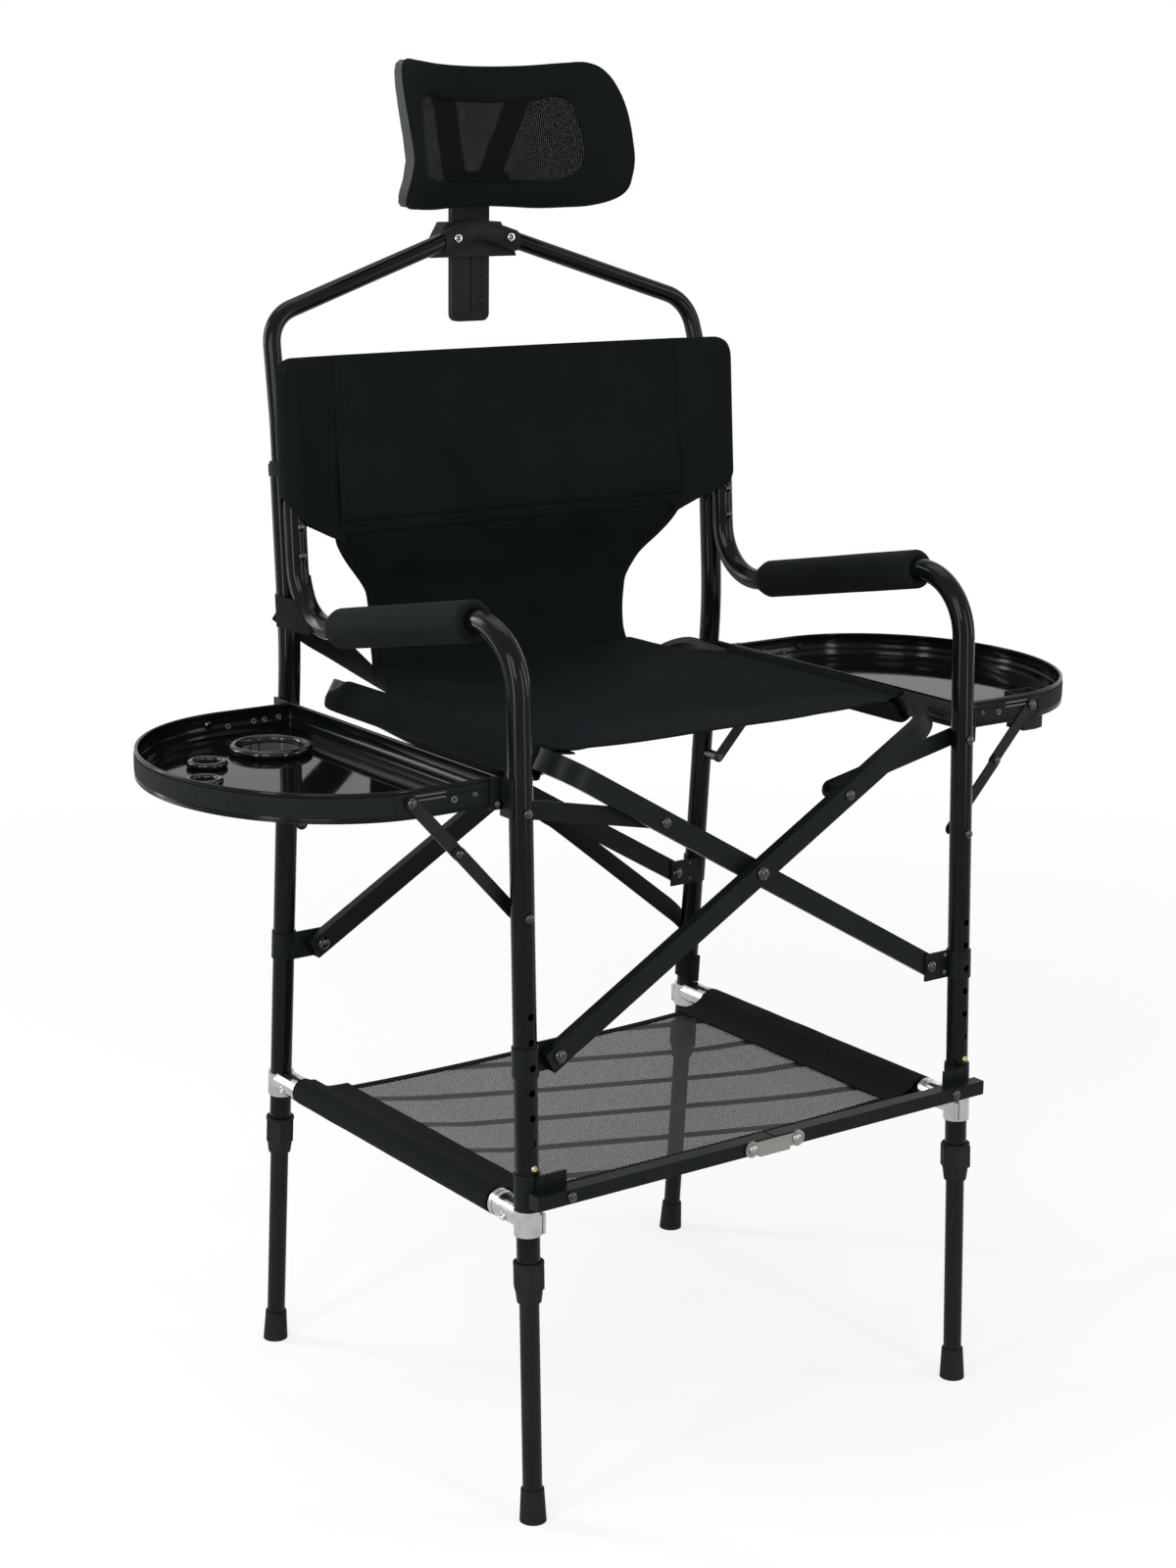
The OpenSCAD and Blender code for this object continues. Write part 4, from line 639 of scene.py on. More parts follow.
def shelf_net_material(finish, sizes):
    """Coated net: slits run front to back, and a few bands without slits cross it at a slight angle."""
    material, tree, shader = new_material("Shelf Net", Specular_IOR_Level=0.12, Roughness=0.45)
    where = place_of(tree)
    across = 1000.0 / sizes.net_step
    slits = group_node(
        tree, "Slits", {"Vector": where, "Across": across, "Along": 310.0, "Open": 0.36, "Cut": 0.34},
    )
    parts = add(tree, "ShaderNodeSeparateXYZ", {0: where})
    slanted = maths(tree, "ADD", parts.outputs[1], maths(tree, "MULTIPLY", parts.outputs[0], BAND_SLOPE))
    place = maths(tree, "FRACT", maths(tree, "MULTIPLY_ADD", slanted, BANDS_PER_METRE, BAND_START))
    band = maths(tree, "LESS_THAN", place, BAND_SHARE)
    mask = maths(tree, "MAXIMUM", slits.outputs["Mask"], band)
    tree.links.new(mask, shader.inputs["Alpha"])
    tint = mix(tree, slits.outputs["Height"], (0.014, 0.016, 0.017), tuple(finish.net))
    tree.links.new(tint, shader.inputs["Base Color"])
    bumped(tree, shader.inputs["Normal"], slits.outputs["Height"], 0.5, 0.0006)
    return material


def head_net_material(finish, sizes):
    """Elastic net: small holes between knitted threads, laid on the piece's own UV."""
    material, tree, shader = new_material("Headrest Net", Specular_IOR_Level=0.03, Roughness=0.8)
    where = place_of(tree, "UV")
    step = 1000.0 / sizes.mesh_step
    slits = group_node(
        tree, "Slits", {"Vector": where, "Across": step, "Along": step, "Open": 0.11, "Cut": 0.12},
    )
    tree.links.new(slits.outputs["Mask"], shader.inputs["Alpha"])
    thread = tuple(0.6 * c for c in finish.net)
    tint = mix(tree, slits.outputs["Height"], (0.005, 0.0058, 0.0066), thread)
    tree.links.new(tint, shader.inputs["Base Color"])
    bumped(tree, shader.inputs["Normal"], slits.outputs["Height"], 0.5, 0.0005)
    return material


def tray_floor_material(finish):
    """Gloss sheet of a tray: faint wipe marks in the gloss, and a little dust."""
    material, tree, shader = new_material("Tray Floor", Specular_IOR_Level=0.07)
    where = place_of(tree)
    stretched = add(
        tree, "ShaderNodeMapping", {"Vector": where, "Scale": (9.0, 2.0, 1.0), "Rotation": (0, 0, 0.5)},
    )
    wipe = noise(tree, stretched.outputs[0], 3.0, 6.0)
    speck = noise(tree, where, 420.0, 2.0)
    dust = ramp(tree, speck, 0.66, 0.74, (0, 0, 0), (0.3, 0.3, 0.3))
    tree.links.new(mix(tree, dust, tuple(finish.tray), (0.05, 0.05, 0.05)), shader.inputs["Base Color"])
    tree.links.new(maths(tree, "MULTIPLY_ADD", wipe, 0.07, 0.02), shader.inputs["Roughness"])
    bumped(tree, shader.inputs["Normal"], wipe, 0.02, 0.001)
    return material


class CHAIR_OT_materials(bpy.types.Operator):
    """Makes the shared node groups and every finish"""

    bl_idname = "chair.materials"
    bl_label = "Materials"

    def execute(self, context):
        finish, sizes = context.scene.chair_finish, context.scene.chair_sizes
        for made in (worn_paint_group(), woven_group(), pored_group(), slit_group()):
            GROUPS[made.name] = made
        m = MATERIALS
        for key, name, tint, gloss, peel, mirror in (
            ("paint", "Gloss Black Paint", finish.paint, 0.14, 0.06, 0.1),
            ("satin", "Satin Black Paint", finish.satin, 0.36, 0.15, 0.08),
            ("charcoal", "Charcoal Paint", finish.charcoal, 0.42, 0.25, 0.08),
            ("gloss", "Smooth Plastic", finish.tray, 0.14, 0.02, 0.25),
            ("stay", "Stay Metal", finish.stay, 0.34, 0.2, 0.14),
            ("eyelet", "Eyelet Metal", (0.05, 0.054, 0.053), 0.3, 0.1, 0.5),
            ("rivet", "Black Rivet", finish.tray, 0.12, 0.03, 0.5),
        ):
            look = {"Gloss": gloss, "Peel": peel}
            m[key] = dress(name, "Worn Paint", tint, look, Specular_IOR_Level=mirror)
        rim = tuple(c * 2.1 for c in finish.plastic)
        rubber = tuple(c * 1.6 for c in finish.charcoal)
        for key, name, tint, size, relief, mirror in (
            ("plastic", "Moulded Plastic", finish.plastic, 1500.0, 0.15, 0.12),
            ("lip", "Headrest Rim", rim, 1500.0, 0.1, 0.4),
            ("rubber", "Foot Rubber", rubber, 800.0, 0.25, 0.08),
        ):
            look = {"Size": size, "Relief": relief}
            m[key] = dress(name, "Pores", tint, look, Specular_IOR_Level=mirror)
        woven, pores = ("Woven Threads", "Thread", "UV"), ("Pores", "Size", "Object")
        for key, name, (group, count, laid), tint, cells, relief, mirror, fuzz, fuzz_tint in (
            ("cloth", "Woven Cloth", woven, finish.cloth, 620.0, 0.45, 0.02, 0.02, (0.3, 0.36, 0.4)),
            ("webbing", "Webbing", woven, finish.webbing, 330.0, 0.7, 0.04, 0.05, (0.3, 0.32, 0.34)),
            ("foam", "Arm Foam", pores, finish.foam, 900.0, 0.5, 0.03, 0.06, (0.3, 0.33, 0.33)),
            ("band", "Grained Band", pores, finish.band, 620.0, 0.9, 0.06, 0.06, (0.3, 0.32, 0.32)),
        ):
            m[key] = dress(
                name, group, tint, {count: cells, "Relief": relief}, laid,
                Specular_IOR_Level=mirror, Sheen_Weight=fuzz, Sheen_Roughness=0.4, Sheen_Tint=fuzz_tint,
            )
        look = {"Thread": 300.0, "Relief": 0.9}
        m["net_solid"] = dress(
            "Dense Net", "Woven Threads", finish.net, look, "UV", Specular_IOR_Level=0.06,
        )
        m["chrome"] = chrome_material(finish)
        m["plate"] = brushed_material("Bar Plate", finish.plate, (1.0, 8.0, 30.0), 0.26)
        m["steel"] = brushed_material("Bright Steel", (0.55, 0.56, 0.57), (6.0, 6.0, 6.0), 0.18)
        m["brass"] = brushed_material("Brass", finish.brass, (9.0, 9.0, 9.0), 0.2)
        m["shelf_net"] = shelf_net_material(finish, sizes)
        m["head_net"] = head_net_material(finish, sizes)
        m["tray"] = tray_floor_material(finish)
        look = {"Base_Color": (0.009, 0.0105, 0.0115), "Roughness": 0.6, "Specular_IOR_Level": 0.08}
        m["thread"] = new_material("Thread", **look)[0]
        return {"FINISHED"}


# Back cloth: outlines as (height, half width) or (height, depth), sleeve lines as (x, depth) or (x, height)
SEAM_X = 240.0
BACK_LOW, BACK_TOP = 812.0, 1182.0
HEM_Z, WAIST_Z = 983.0, 984.0
SLEEVE_IN, SLEEVE_OUT = 233.0, 316.6
SLEEVE_LINE = [
    (233, 7.9), (240, 6.8), (262, 2.2), (285, -8.5), (302, -14.6), (313, -9.5), (316.8, 0), (313, 9),
    (302, 12.9), (285, 13.1), (262, 10.8), (240, 9.4), (233, 9.2),
]
SLEEVE_CLOSED = [(233, 8.5), (240, 8.2), (262, 6.5), (285, 3.5), (302, 1.0), (316.8, 0.2)]
SLEEVE_EDGE = [(233, 972), (240, 976), (255, 983), (270, 990.5), (288, 999)]
TOP_SEAM = 17.0
BACK_EDGE = [
    (BACK_LOW, 180), (828, 177.2), (845, 177), (863, 177.6), (880, 178.6), (896, 181), (912, 187),
    (924, 195), (935, 205), (947, 217), (957, 226), (966, 233), (975, 238.5), (984, 241),
]
BACK_DEPTH = [
    (BACK_LOW, 232), (836, 238), (860, 240.6), (900, 239.4), (937, 227), (968, 214.5), (990, 207.7),
    (1085, 214.7), (1178, 221.8), (1190, 222.7),
]
BACK_FOLDS = [
    (-150, 905, 120, 868, 9, 1.5), (-40, 960, 190, 935, 12, -1.6), (-170, 850, 60, 838, 7, 1.2),
    (20, 900, 165, 880, 8, 1.4), (-120, 985, -190, 905, 12, 1.8), (110, 985, 180, 915, 10, 1.5),
    (-60, 1150, -210, 1060, 24, 0.9), (40, 1040, 215, 1120, 30, 0.8), (-30, 1090, 60, 1015, 26, -0.8),
    (0, 930, -150, 940, 10, 1.2),
]


def back_half_width(z):
    """Half the width of the back cloth's middle panel at a height: it draws in below the seam."""
    return np.minimum(value_at(BACK_EDGE, np.clip(z, BACK_LOW, WAIST_Z)), SEAM_X)


def back_depth(x, z, fold_height):
    """Depth of the panel: its line of depths, the doubled layer above the hem, a sewn groove, and folds."""
    y = value_at(BACK_DEPTH, z)
    y = y - 1.5 * smoothstep(HEM_Z - 1, HEM_Z + 1.5, z)
    y = y + 1.7 * np.exp(-((z - HEM_Z - 13.5) ** 2) / 9) - 1.1 * np.exp(-((z - HEM_Z - 20) ** 2) / 50)
    y = y + 0.7 * np.exp(-((z - HEM_Z + 2.5) ** 2) / 7)
    edge = smoothstep(0, 40, SEAM_X - abs(x))
    y = y + 5.0 * (1 - (x / SEAM_X) ** 2) * smoothstep(980, 1100, z)
    y = y - fold_height * 0.5 * folds(x, z, BACK_FOLDS) * (0.3 + 0.7 * edge)
    return y + 0.5 * fold_height * wander(x, z, 55.0, 4) * edge * (1.3 - smoothstep(960, 1040, z))


def sleeve_low(x):
    """Lower edge of a back sleeve: it drops towards the middle in one hollow curve."""
    a = np.clip(np.asarray(x, float), SLEEVE_IN, SLEEVE_OUT)
    turn_x, turn_z = SLEEVE_EDGE[-1]
    inner = value_at(SLEEVE_EDGE, np.minimum(a, turn_x))
    t = np.clip((a - turn_x) / 29, 0, 1)
    return np.where(a < turn_x, inner, turn_z + (a - turn_x) * 0.45 + 22 * (1 - np.sqrt(1 - t * t)))


def sleeve_top(x):
    """Upper edge of a back sleeve: level, with a round outer corner."""
    t = np.clip((np.asarray(x, float) - 296) / 21, 0, 0.98)
    return BACK_TOP - 20 * (1 - np.sqrt(1 - t * t))


def back_sleeve(side):
    """A flat tube of cloth round an upright: a section of (x, depth from its axis), lofted and sewn up."""
    x, off = closed_through(SLEEVE_LINE, 104).T
    v = np.concatenate([np.linspace(0, 0.9, 44), np.linspace(0.91, 1, 14)])[:, None]
    low, high = sleeve_low(x), sleeve_top(x)
    z = low + v * (high - low)
    near = np.clip((z - (high - TOP_SEAM)) / TOP_SEAM, 0, 1)
    middle = value_at(SLEEVE_CLOSED, x)
    squeeze = np.sqrt(np.maximum(1 - near**2, 0.0))
    relief = 0.5 * wander(x, z + off, 38.0, 9 + side) * (1 - near)
    y = upright_y(z) + middle + (off - middle + relief) * (0.06 + 0.94 * squeeze)
    return np.stack([side * np.broadcast_to(x, z.shape), y, z], axis=2)


BACK_COLUMNS, SEAM_COLUMN = 161, 76


def back_panel(fold_height):
    """The middle panel over (s, z): x runs over the half width at each height."""
    hem = [np.linspace(BACK_LOW, 985, 90), np.linspace(985.7, 1020, 50), np.linspace(1021.5, BACK_TOP, 80)]
    z = np.concatenate(hem)
    zz, ss = np.meshgrid(z, np.linspace(-1, 1, BACK_COLUMNS), indexing="ij")
    x = ss * back_half_width(z)[:, None]
    points = np.stack([x, back_depth(x, zz, fold_height), zz], axis=2)
    top = np.clip((zz - (BACK_TOP - 2)) / 2, 0, 1)
    points[..., 1] += 0.6 * top
    return points


class CHAIR_OT_back(bpy.types.Operator):
    """Makes the back cloth: a middle panel, a sleeve on each upright, and the tape on the hollow edges"""

    bl_idname = "chair.back"
    bl_label = "Back cloth"

    def execute(self, context):
        sizes = context.scene.chair_sizes
        tapes, threads = [], []
        panel = back_panel(sizes.fold_height)
        piece = make_piece("back_panel", grid(panel), MATERIALS["cloth"], turn_out=False)
        thicken(piece, sizes.cloth)
        half = panel[:, -1]
        for side in (LEFT, RIGHT):
            edge = half[half[:, 2] < 980] * [side, 1, 1]
            tapes.append(carry(circle(1.9, 16) * [1.0, sizes.binding / 3.8], spaced(edge, 3.0), (0, 1, 0)))
            rows = panel[:, BACK_COLUMNS // 2 + side * SEAM_COLUMN]
            threads.append(stitches(rows[rows[:, 2] > HEM_Z + 18] - [0, 1.15, 0], (0, -1, 0), sizes.stitch))
        for z, rise in ((HEM_Z + 4, 1.25), (HEM_Z + 17, 1.25), (BACK_TOP - 9, 1.2)):
            row = panel[int(np.abs(panel[:, 0, 2] - z).argmin())]
            threads.append(stitches(row - [0, rise, 0], (0, -1, 0), sizes.stitch))
        tape = make_piece("back_edge_tape", join(*tapes), MATERIALS["webbing"])
        thread = make_piece("back_thread", join(*threads), MATERIALS["thread"], smooth=False)
        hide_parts("back_cloth")
        for one in (piece, tape, thread):
            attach(one, "left_frame")
            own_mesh(one)
        for side in (LEFT, RIGHT):
            shape = back_sleeve(side)
            sleeve = make_piece(
                "back_sleeve_" + SIDE_NAME[side], grid(shape, wrap_v=True), MATERIALS["cloth"],
            )
            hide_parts("back_cloth")
            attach(sleeve, SIDE_NAME[side] + "_frame")
        return {"FINISHED"}


# Seat cloth
D_WAY = np.array([math.cos(CROSS_ANGLE), math.sin(CROSS_ANGLE)])
N_WAY = np.array([-math.sin(CROSS_ANGLE), math.cos(CROSS_ANGLE)])
SEAT_FOLDS = [
    (-190, -150, 60, 30, 22, 2.2), (120, -170, 190, 90, 18, 1.8), (-60, 120, 120, 175, 15, 1.6),
    (-150, 60, -190, 150, 16, 1.6), (0, -60, 150, -120, 26, -1.4),
]


def seat_top(x, sag):
    """Height of the seat cloth: a parabola between the rails."""
    return 817 - sag * (1 - (x / RAIL[0]) ** 2)


# The sleeve round a rail: (along, off) the frame member's direction, and how far its underside hangs
RAIL_DROOP = 9.0
RAIL_LINE = [
    (-8.0, -8.0), (-6.5, -12.4), (0, -14.3), (6.0, -13.4), (8.3, -9.5), (8.5, 0), (8.3, 9.5), (6.0, 13.4),
    (0, 14.4), (-5.0, 13.6),
]


def seat_section(sag):
    """The cloth's line of (x, z) from under the left rail, round it, across, and round the right rail."""
    wrap = [
        tuple(RAIL + d * D_WAY + n * N_WAY - [0, RAIL_DROOP * smoothstep(4, -14, n)])
        for d, n in RAIL_LINE
    ]
    under = [(x, seat_top(x, sag) - drop) for x, drop in ((213.0, 3.0), (232.0, 6.5))]
    over = [(x, seat_top(x, sag) - drop) for x, drop in ((228.0, -0.6), (216.0, 0.0))]
    right = through(under + wrap + over, RAIL_POINTS)
    x = np.linspace(212, -212, 107)
    middle = np.stack([x, seat_top(x, sag)], axis=1)
    left = right[::-1] * [-1, 1]
    return np.concatenate([right, middle, left])


def seat_front(x):
    """Front edge of the seat cloth, further forward between the sleeves."""
    return SEAT_FRONT + 12.8 * smoothstep(205, 236, np.abs(x))


RAIL_POINTS, UNDER_POINTS = 80, 30
SEAT_IN, SEAT_FRONT = 247.0, -212.0
# Depth of the rear edge, by distance from the middle
SEAT_REAR = [
    (0, 228), (120, 228), (183, 227), (188, 207), (193, 193), (199, 181), (206, 169), (220, 142),
    (234, 117), (243, 107), (247, 107),
]
# How far the sleeve reaches past the start of the frame's bend, by height
SLEEVE_END = [(780, -4), (784, 12), (788, 19), (795, 17), (801, 12), (810, 2), (816, -8), (824, -12)]
CORNER_R = 44.0


def seat_corner(x):
    """Depth at which the frame member of a side starts its rear bend."""
    return np.where(x < 0, B_REAR, A_REAR) + MEMBER_T - CORNER_R


def seat_rear(x, z):
    """Rear edge: a middle tongue, deep hollows beside the sleeves, and sleeve ends on the frame's bend."""
    middle = value_at(SEAT_REAR, np.minimum(np.abs(x), SEAT_IN))
    sleeve = seat_corner(x) + value_at(SLEEVE_END, np.clip(z, 780, 824))
    return np.where(np.abs(x) > SEAT_IN, sleeve, middle)


class CHAIR_OT_seat(bpy.types.Operator):
    """Makes the seat cloth with its two sleeves round the rails, its hems and its stitches"""

    bl_idname = "chair.seat"
    bl_label = "Seat cloth"

    def execute(self, context):
        sizes = context.scene.chair_sizes
        x, z = seat_section(sizes.seat_sag).T
        under = np.arange(len(x)) < UNDER_POINTS
        under |= under[::-1]
        sleeve = np.abs(x) > SEAT_IN
        # the grid runs from the front edge to the rear one
        v = np.linspace(0, 1, 121)[:, None]
        rear = seat_rear(x, z)
        y = seat_front(x) + v * (rear - seat_front(x))
        open_part = smoothstep(0, 30, 225 - np.abs(x))
        taut = 9.5 * (1 - (x / RAIL[0]) ** 2) * (1 - smoothstep(-213, -95, y))
        height = z + (9 * smoothstep(150, 228, y) + taut) * open_part * ~under
        creases = folds(x, y, SEAT_FOLDS) * 0.6 + wander(x, y, 60.0, 21)
        height = height + sizes.fold_height * 0.7 * creases * open_part
        # the sleeves' ends roll in, and their rear ends follow the frame's bend
        ends = np.minimum(y - seat_front(x), rear - y)
        roll = 2.5 * np.exp(-ends / 4.0) * sleeve
        height = height + roll * np.sign(RAIL[1] - height)
        xx = np.broadcast_to(x, y.shape) + roll * np.sign(np.sign(x) * RAIL[0] - x) * 0.5
        bent = CORNER_R - np.sqrt(CORNER_R**2 - np.clip(y - seat_corner(x), 0, 40) ** 2)
        xx = xx - np.sign(x) * bent * D_WAY[0] * sleeve
        height = height - bent * D_WAY[1] * sleeve
        points = np.stack([xx, y, height], axis=2)
        piece = make_piece("seat_sheet", grid(points), MATERIALS["cloth"], turn_out=False)
        thicken(piece, sizes.cloth)
        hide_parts("seat_cloth")
        threads = []
        for k in (3, -4):
            row = points[k][90:-90]
            threads.append(stitches(row + [0, 0, 1.25], (0, 0, 1), sizes.stitch))
        for out in (0, 4):
            for column in (len(x) - 1 - RAIL_POINTS + out, RAIL_POINTS - out):
                threads.append(stitches(points[:, column] + [0, 0, 1.3], (0, 0, 1), sizes.stitch))
        thread = make_piece("seat_thread", join(*threads), MATERIALS["thread"], smooth=False)
        for one in (piece, thread):
            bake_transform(one)
        return {"FINISHED"}


# Low shelf
SHELF_Z = 338.0
SHELF_FRONT, SHELF_REAR = -203.0, 195.0
NET_X = 246.0
# The shelf sleeve's flap, as (x from the tube, rise)
FLAP_OVER = [(-58, -1.7), (-44, -1.0), (-30, 0.6), (-20, 5.6), (-14, 11.4)]
FLAP_UNDER = [(-14, -11.8), (-20, -8.2), (-30, -4.8), (-44, -3.6), (-58, -3.2)]


def shelf_top(x):
    """Height of the shelf cloth: a shallow parabola between its tubes."""
    return SHELF_Z - 2 - 4 * (1 - (x / LEG_X) ** 2)


class CHAIR_OT_shelf(bpy.types.Operator):
    """Makes the low shelf: a dense sleeve on each side tube, the open net and its hems"""

    bl_idname = "chair.shelf"
    bl_label = "Shelf"

    def execute(self, context):
        sizes = context.scene.chair_sizes
        for side in (LEFT, RIGHT):
            arc = [(14.6 * math.cos(a), 14.6 * math.sin(a)) for a in np.linspace(2.1, -2.1, 21)]
            section = through(FLAP_OVER + arc + FLAP_UNDER, 90)
            y = np.linspace(SHELF_FRONT, SHELF_REAR, 81)[:, None]
            zz = SHELF_Z + section[:, 1] + 0.5 * wander(y, section[:, 0], 18.0, 5 + side)
            xx = side * (LEG_X + section[:, 0])
            shape = np.stack([np.broadcast_to(xx, zz.shape), np.broadcast_to(y, zz.shape), zz], axis=2)
            sleeve = make_piece(
                "shelf_sleeve_" + SIDE_NAME[side], grid(shape), MATERIALS["net_solid"], turn_out=False,
            )
            thicken(sleeve, 1.3)
            path = np.column_stack([np.full(81, side * LEG_X), y[:, 0], np.full(81, SHELF_Z)])
            rows = []
            for off, up in ((-24.0, 3.6), (-54.0, -0.8), (-47.0, -0.4)):
                line = path + [side * off, 0, up]
                rows.append(stitches(line[2:-2], (0, 0, 1), sizes.stitch, 2.2, 0.9, 0.5))
            thread = make_piece(
                "shelf_thread_" + SIDE_NAME[side], join(*rows), MATERIALS["thread"], smooth=False,
            )
            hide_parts("shelf_cloth")
            for one in (sleeve, thread):
                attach(one, SIDE_NAME[side] + "_frame")
        x = np.linspace(-NET_X, NET_X, 140)
        y = np.linspace(SHELF_FRONT + 4, SHELF_REAR - 4, 90)
        xx, yy = np.meshgrid(x, y, indexing="ij")
        ease = smoothstep(0, 60, NET_X - np.abs(xx))
        sag = 3.0 * ease * (1 - ((yy + 4) / 200) ** 2)
        zz = shelf_top(xx) - 1.0 + 1.3 * wander(xx, yy * 0.5, 60.0, 31) * ease - sag
        points = np.stack([xx, yy, zz], axis=2)
        net = make_piece("shelf_net", grid(points), MATERIALS["shelf_net"], turn_out=False)
        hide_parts("shelf_cloth")
        hems = [carry(circle(1.7, 14) * [1, 3.4], points[:, k], (0, 0, 1)) for k in (1, -2)]
        hem = make_piece("shelf_hems", join(*hems), MATERIALS["net_solid"])
        for one in (net, hem):
            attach(one, "left_frame")
            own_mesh(one)
        return {"FINISHED"}


# Carrying strap
STRAP_HIGH, STRAP_LOW = 905.0, 431.5
LOOP_LOW = 372.0
STRAP_TAIL = [(4, 1, -10), (12, 2, -36), (22, -2, -76)]
# How far the web has turned over, in degrees, by its share of the way
STRAP_TURN = [
    (0, 0), (0.06, 20), (0.14, 56), (0.19, 70), (0.3, 100), (0.42, 135), (0.5, 150), (0.62, 140),
    (0.73, 133), (0.88, 135), (0.96, 165), (1.0, 178), (1.04, 180),
]
LOOP_Z, BEND_TOP, ARM_BEND = 914.0, 955.0, 65.0
LOOP_TILT = 0.55 * (STRAP_LOW - STRAP_HIGH) / (2 * LEG_X)


class CHAIR_OT_strap(bpy.types.Operator):
    """Makes the carrying strap: a loop on the left tubes, the long web and a loop on the right rear leg"""

    bl_idname = "chair.strap"
    bl_label = "Strap"

    def execute(self, context):
        sizes = context.scene.chair_sizes
        half = sizes.strap / 2
        start = np.array([-LEG_X, post_y(STRAP_HIGH) + TUBE_R + 3.2, STRAP_HIGH])
        end = np.array([LEG_X, rear_y(STRAP_LOW) + TUBE_R + 4.0, STRAP_LOW])
        t = np.linspace(0, 0.97, 60)[:, None]
        run = start + t * (end - start) + 5.0 * np.sin(math.pi * t) * [0, 1, 0]
        path = through(np.concatenate([run, end + STRAP_TAIL]), 160)
        share = (path[:, 0] - start[0]) / (end[0] - start[0])
        turn = np.radians(value_at(STRAP_TURN, np.clip(share, 0, 1.04)))[:, None]
        heading = np.gradient(path, axis=0)
        heading /= np.linalg.norm(heading, axis=1)[:, None]
        flat = np.cross(heading, [0, 1.0, 0])
        flat /= np.linalg.norm(flat, axis=1)[:, None]
        across = np.cos(turn) * [0, 1.0, 0] + np.sin(turn) * flat
        edge = [(-1, half - 1), (-0.4, half), (0.4, half), (1, half - 1)]
        profile = [(-1, -half + 1)] + edge + [(1, -half + 1), (0.4, -half), (-0.4, -half)]
        web = make_piece("strap_web", carry(profile, path, across), MATERIALS["webbing"])
        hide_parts("carry_strap")
        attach(web, "left_frame")
        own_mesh(web)
        r = TUBE_R + 1.5
        a = np.linspace(-math.pi / 2, 1.5 * math.pi, 57)[:-1]
        x, turn = r * np.cos(a), np.sin(a)
        v = np.linspace(-half * 0.92, half * 0.92, 13)[:, None]
        for side, body in ((LEFT, "left_frame"), (RIGHT, "right_frame")):
            if side == LEFT:
                zz = LOOP_Z + v + 12 * np.cos(a) - 5 * turn
                bend = ARM_BEND - np.sqrt(ARM_BEND**2 - np.clip(BEND_TOP - zz, 0, 60) ** 2)
                rear, front = post_y(zz), upright_y(zz) - bend
            else:
                zz = LOOP_LOW + v + LOOP_TILT * x
                rear = front = rear_y(zz)
            centre = np.where(turn > 0.001, rear, np.where(turn < -0.001, front, (rear + front) / 2))
            points = np.stack([np.broadcast_to(side * LEG_X + x, zz.shape), centre + r * turn, zz], axis=2)
            loop = make_piece(
                "strap_loop_" + SIDE_NAME[side], grid(points, wrap_v=True), MATERIALS["webbing"],
            )
            thicken(loop, 1.6, 1.0)
            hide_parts("carry_strap")
            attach(loop, body)
        rows = [
            stitches(path[1:8] + [0, rise, off], (0, rise, 0), sizes.stitch)
            for off in (-half + 4, half - 4)
            for rise in (-1.2, 1.2)
        ]
        thread = make_piece("strap_thread", join(*rows), MATERIALS["thread"], smooth=False)
        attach(thread, "left_frame")
        return {"FINISHED"}


# Arm pads
PAD_START = np.array([-159.73, 949.07])
PAD_WAY = np.array([0.98244, -0.18653])
PAD_LENGTH = 276.0


class CHAIR_OT_pads(bpy.types.Operator):
    """Makes the two foam arm pads: a turned outline with a rounded front, a bevelled rear, and soft dents"""

    bl_idname = "chair.pads"
    bl_label = "Arm pads"

    def execute(self, context):
        r = context.scene.chair_sizes.pad_radius
        bend = [(math.sin(a), math.cos(a)) for a in np.linspace(0, math.pi / 2, 9)]
        front = [(r - 6 + 6 * s, 6 - 6 * c) for s, c in bend]
        h = np.linspace(8, PAD_LENGTH - 13, 90)
        inner = [(TUBE_R + a, b) for a, b in ((0.2, 9), (0.4, 2.4), (2.5, 0.6))]
        rear = [(r - a, PAD_LENGTH - b) for a, b in ((0, 12), (0.8, 9.5), (4.4, 1.4), (5.4, 0))]
        hole = [(TUBE_R + a, PAD_LENGTH + b) for a, b in ((1.5, 0.2), (0.3, -2), (0.2, -9))]
        profile = np.array(inner + front + [(r, q) for q in h] + rear + hole)
        for side in (LEFT, RIGHT):
            origin = np.array([side * LEG_X, *PAD_START])
            axis = np.array([0, *PAD_WAY])
            points, faces, uv = lathe(profile, origin, axis, 64)
            along = (points - origin) @ axis
            out = points - origin - along[:, None] * axis
            reach = np.linalg.norm(out, axis=1)
            broad = 0.35 * wander(along, points[:, 0] * 2 + points[:, 2], 26.0, 50 + side)
            fine = 0.12 * wander(along, points[:, 0], 5.0, 60)
            dent = (broad + fine) * smoothstep(TUBE_R + 2, r - 1, reach)
            points = points + out / reach[:, None] * (dent - 0.2)[:, None]
            pad = make_piece("arm_foam_" + SIDE_NAME[side], (points, faces, uv), MATERIALS["foam"])
            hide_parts(SIDE_NAME[side] + "_arm_pad")
            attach(pad, SIDE_NAME[side] + "_frame")
        return {"FINISHED"}


# Headrest
HEAD_MIDDLE = 1424.0
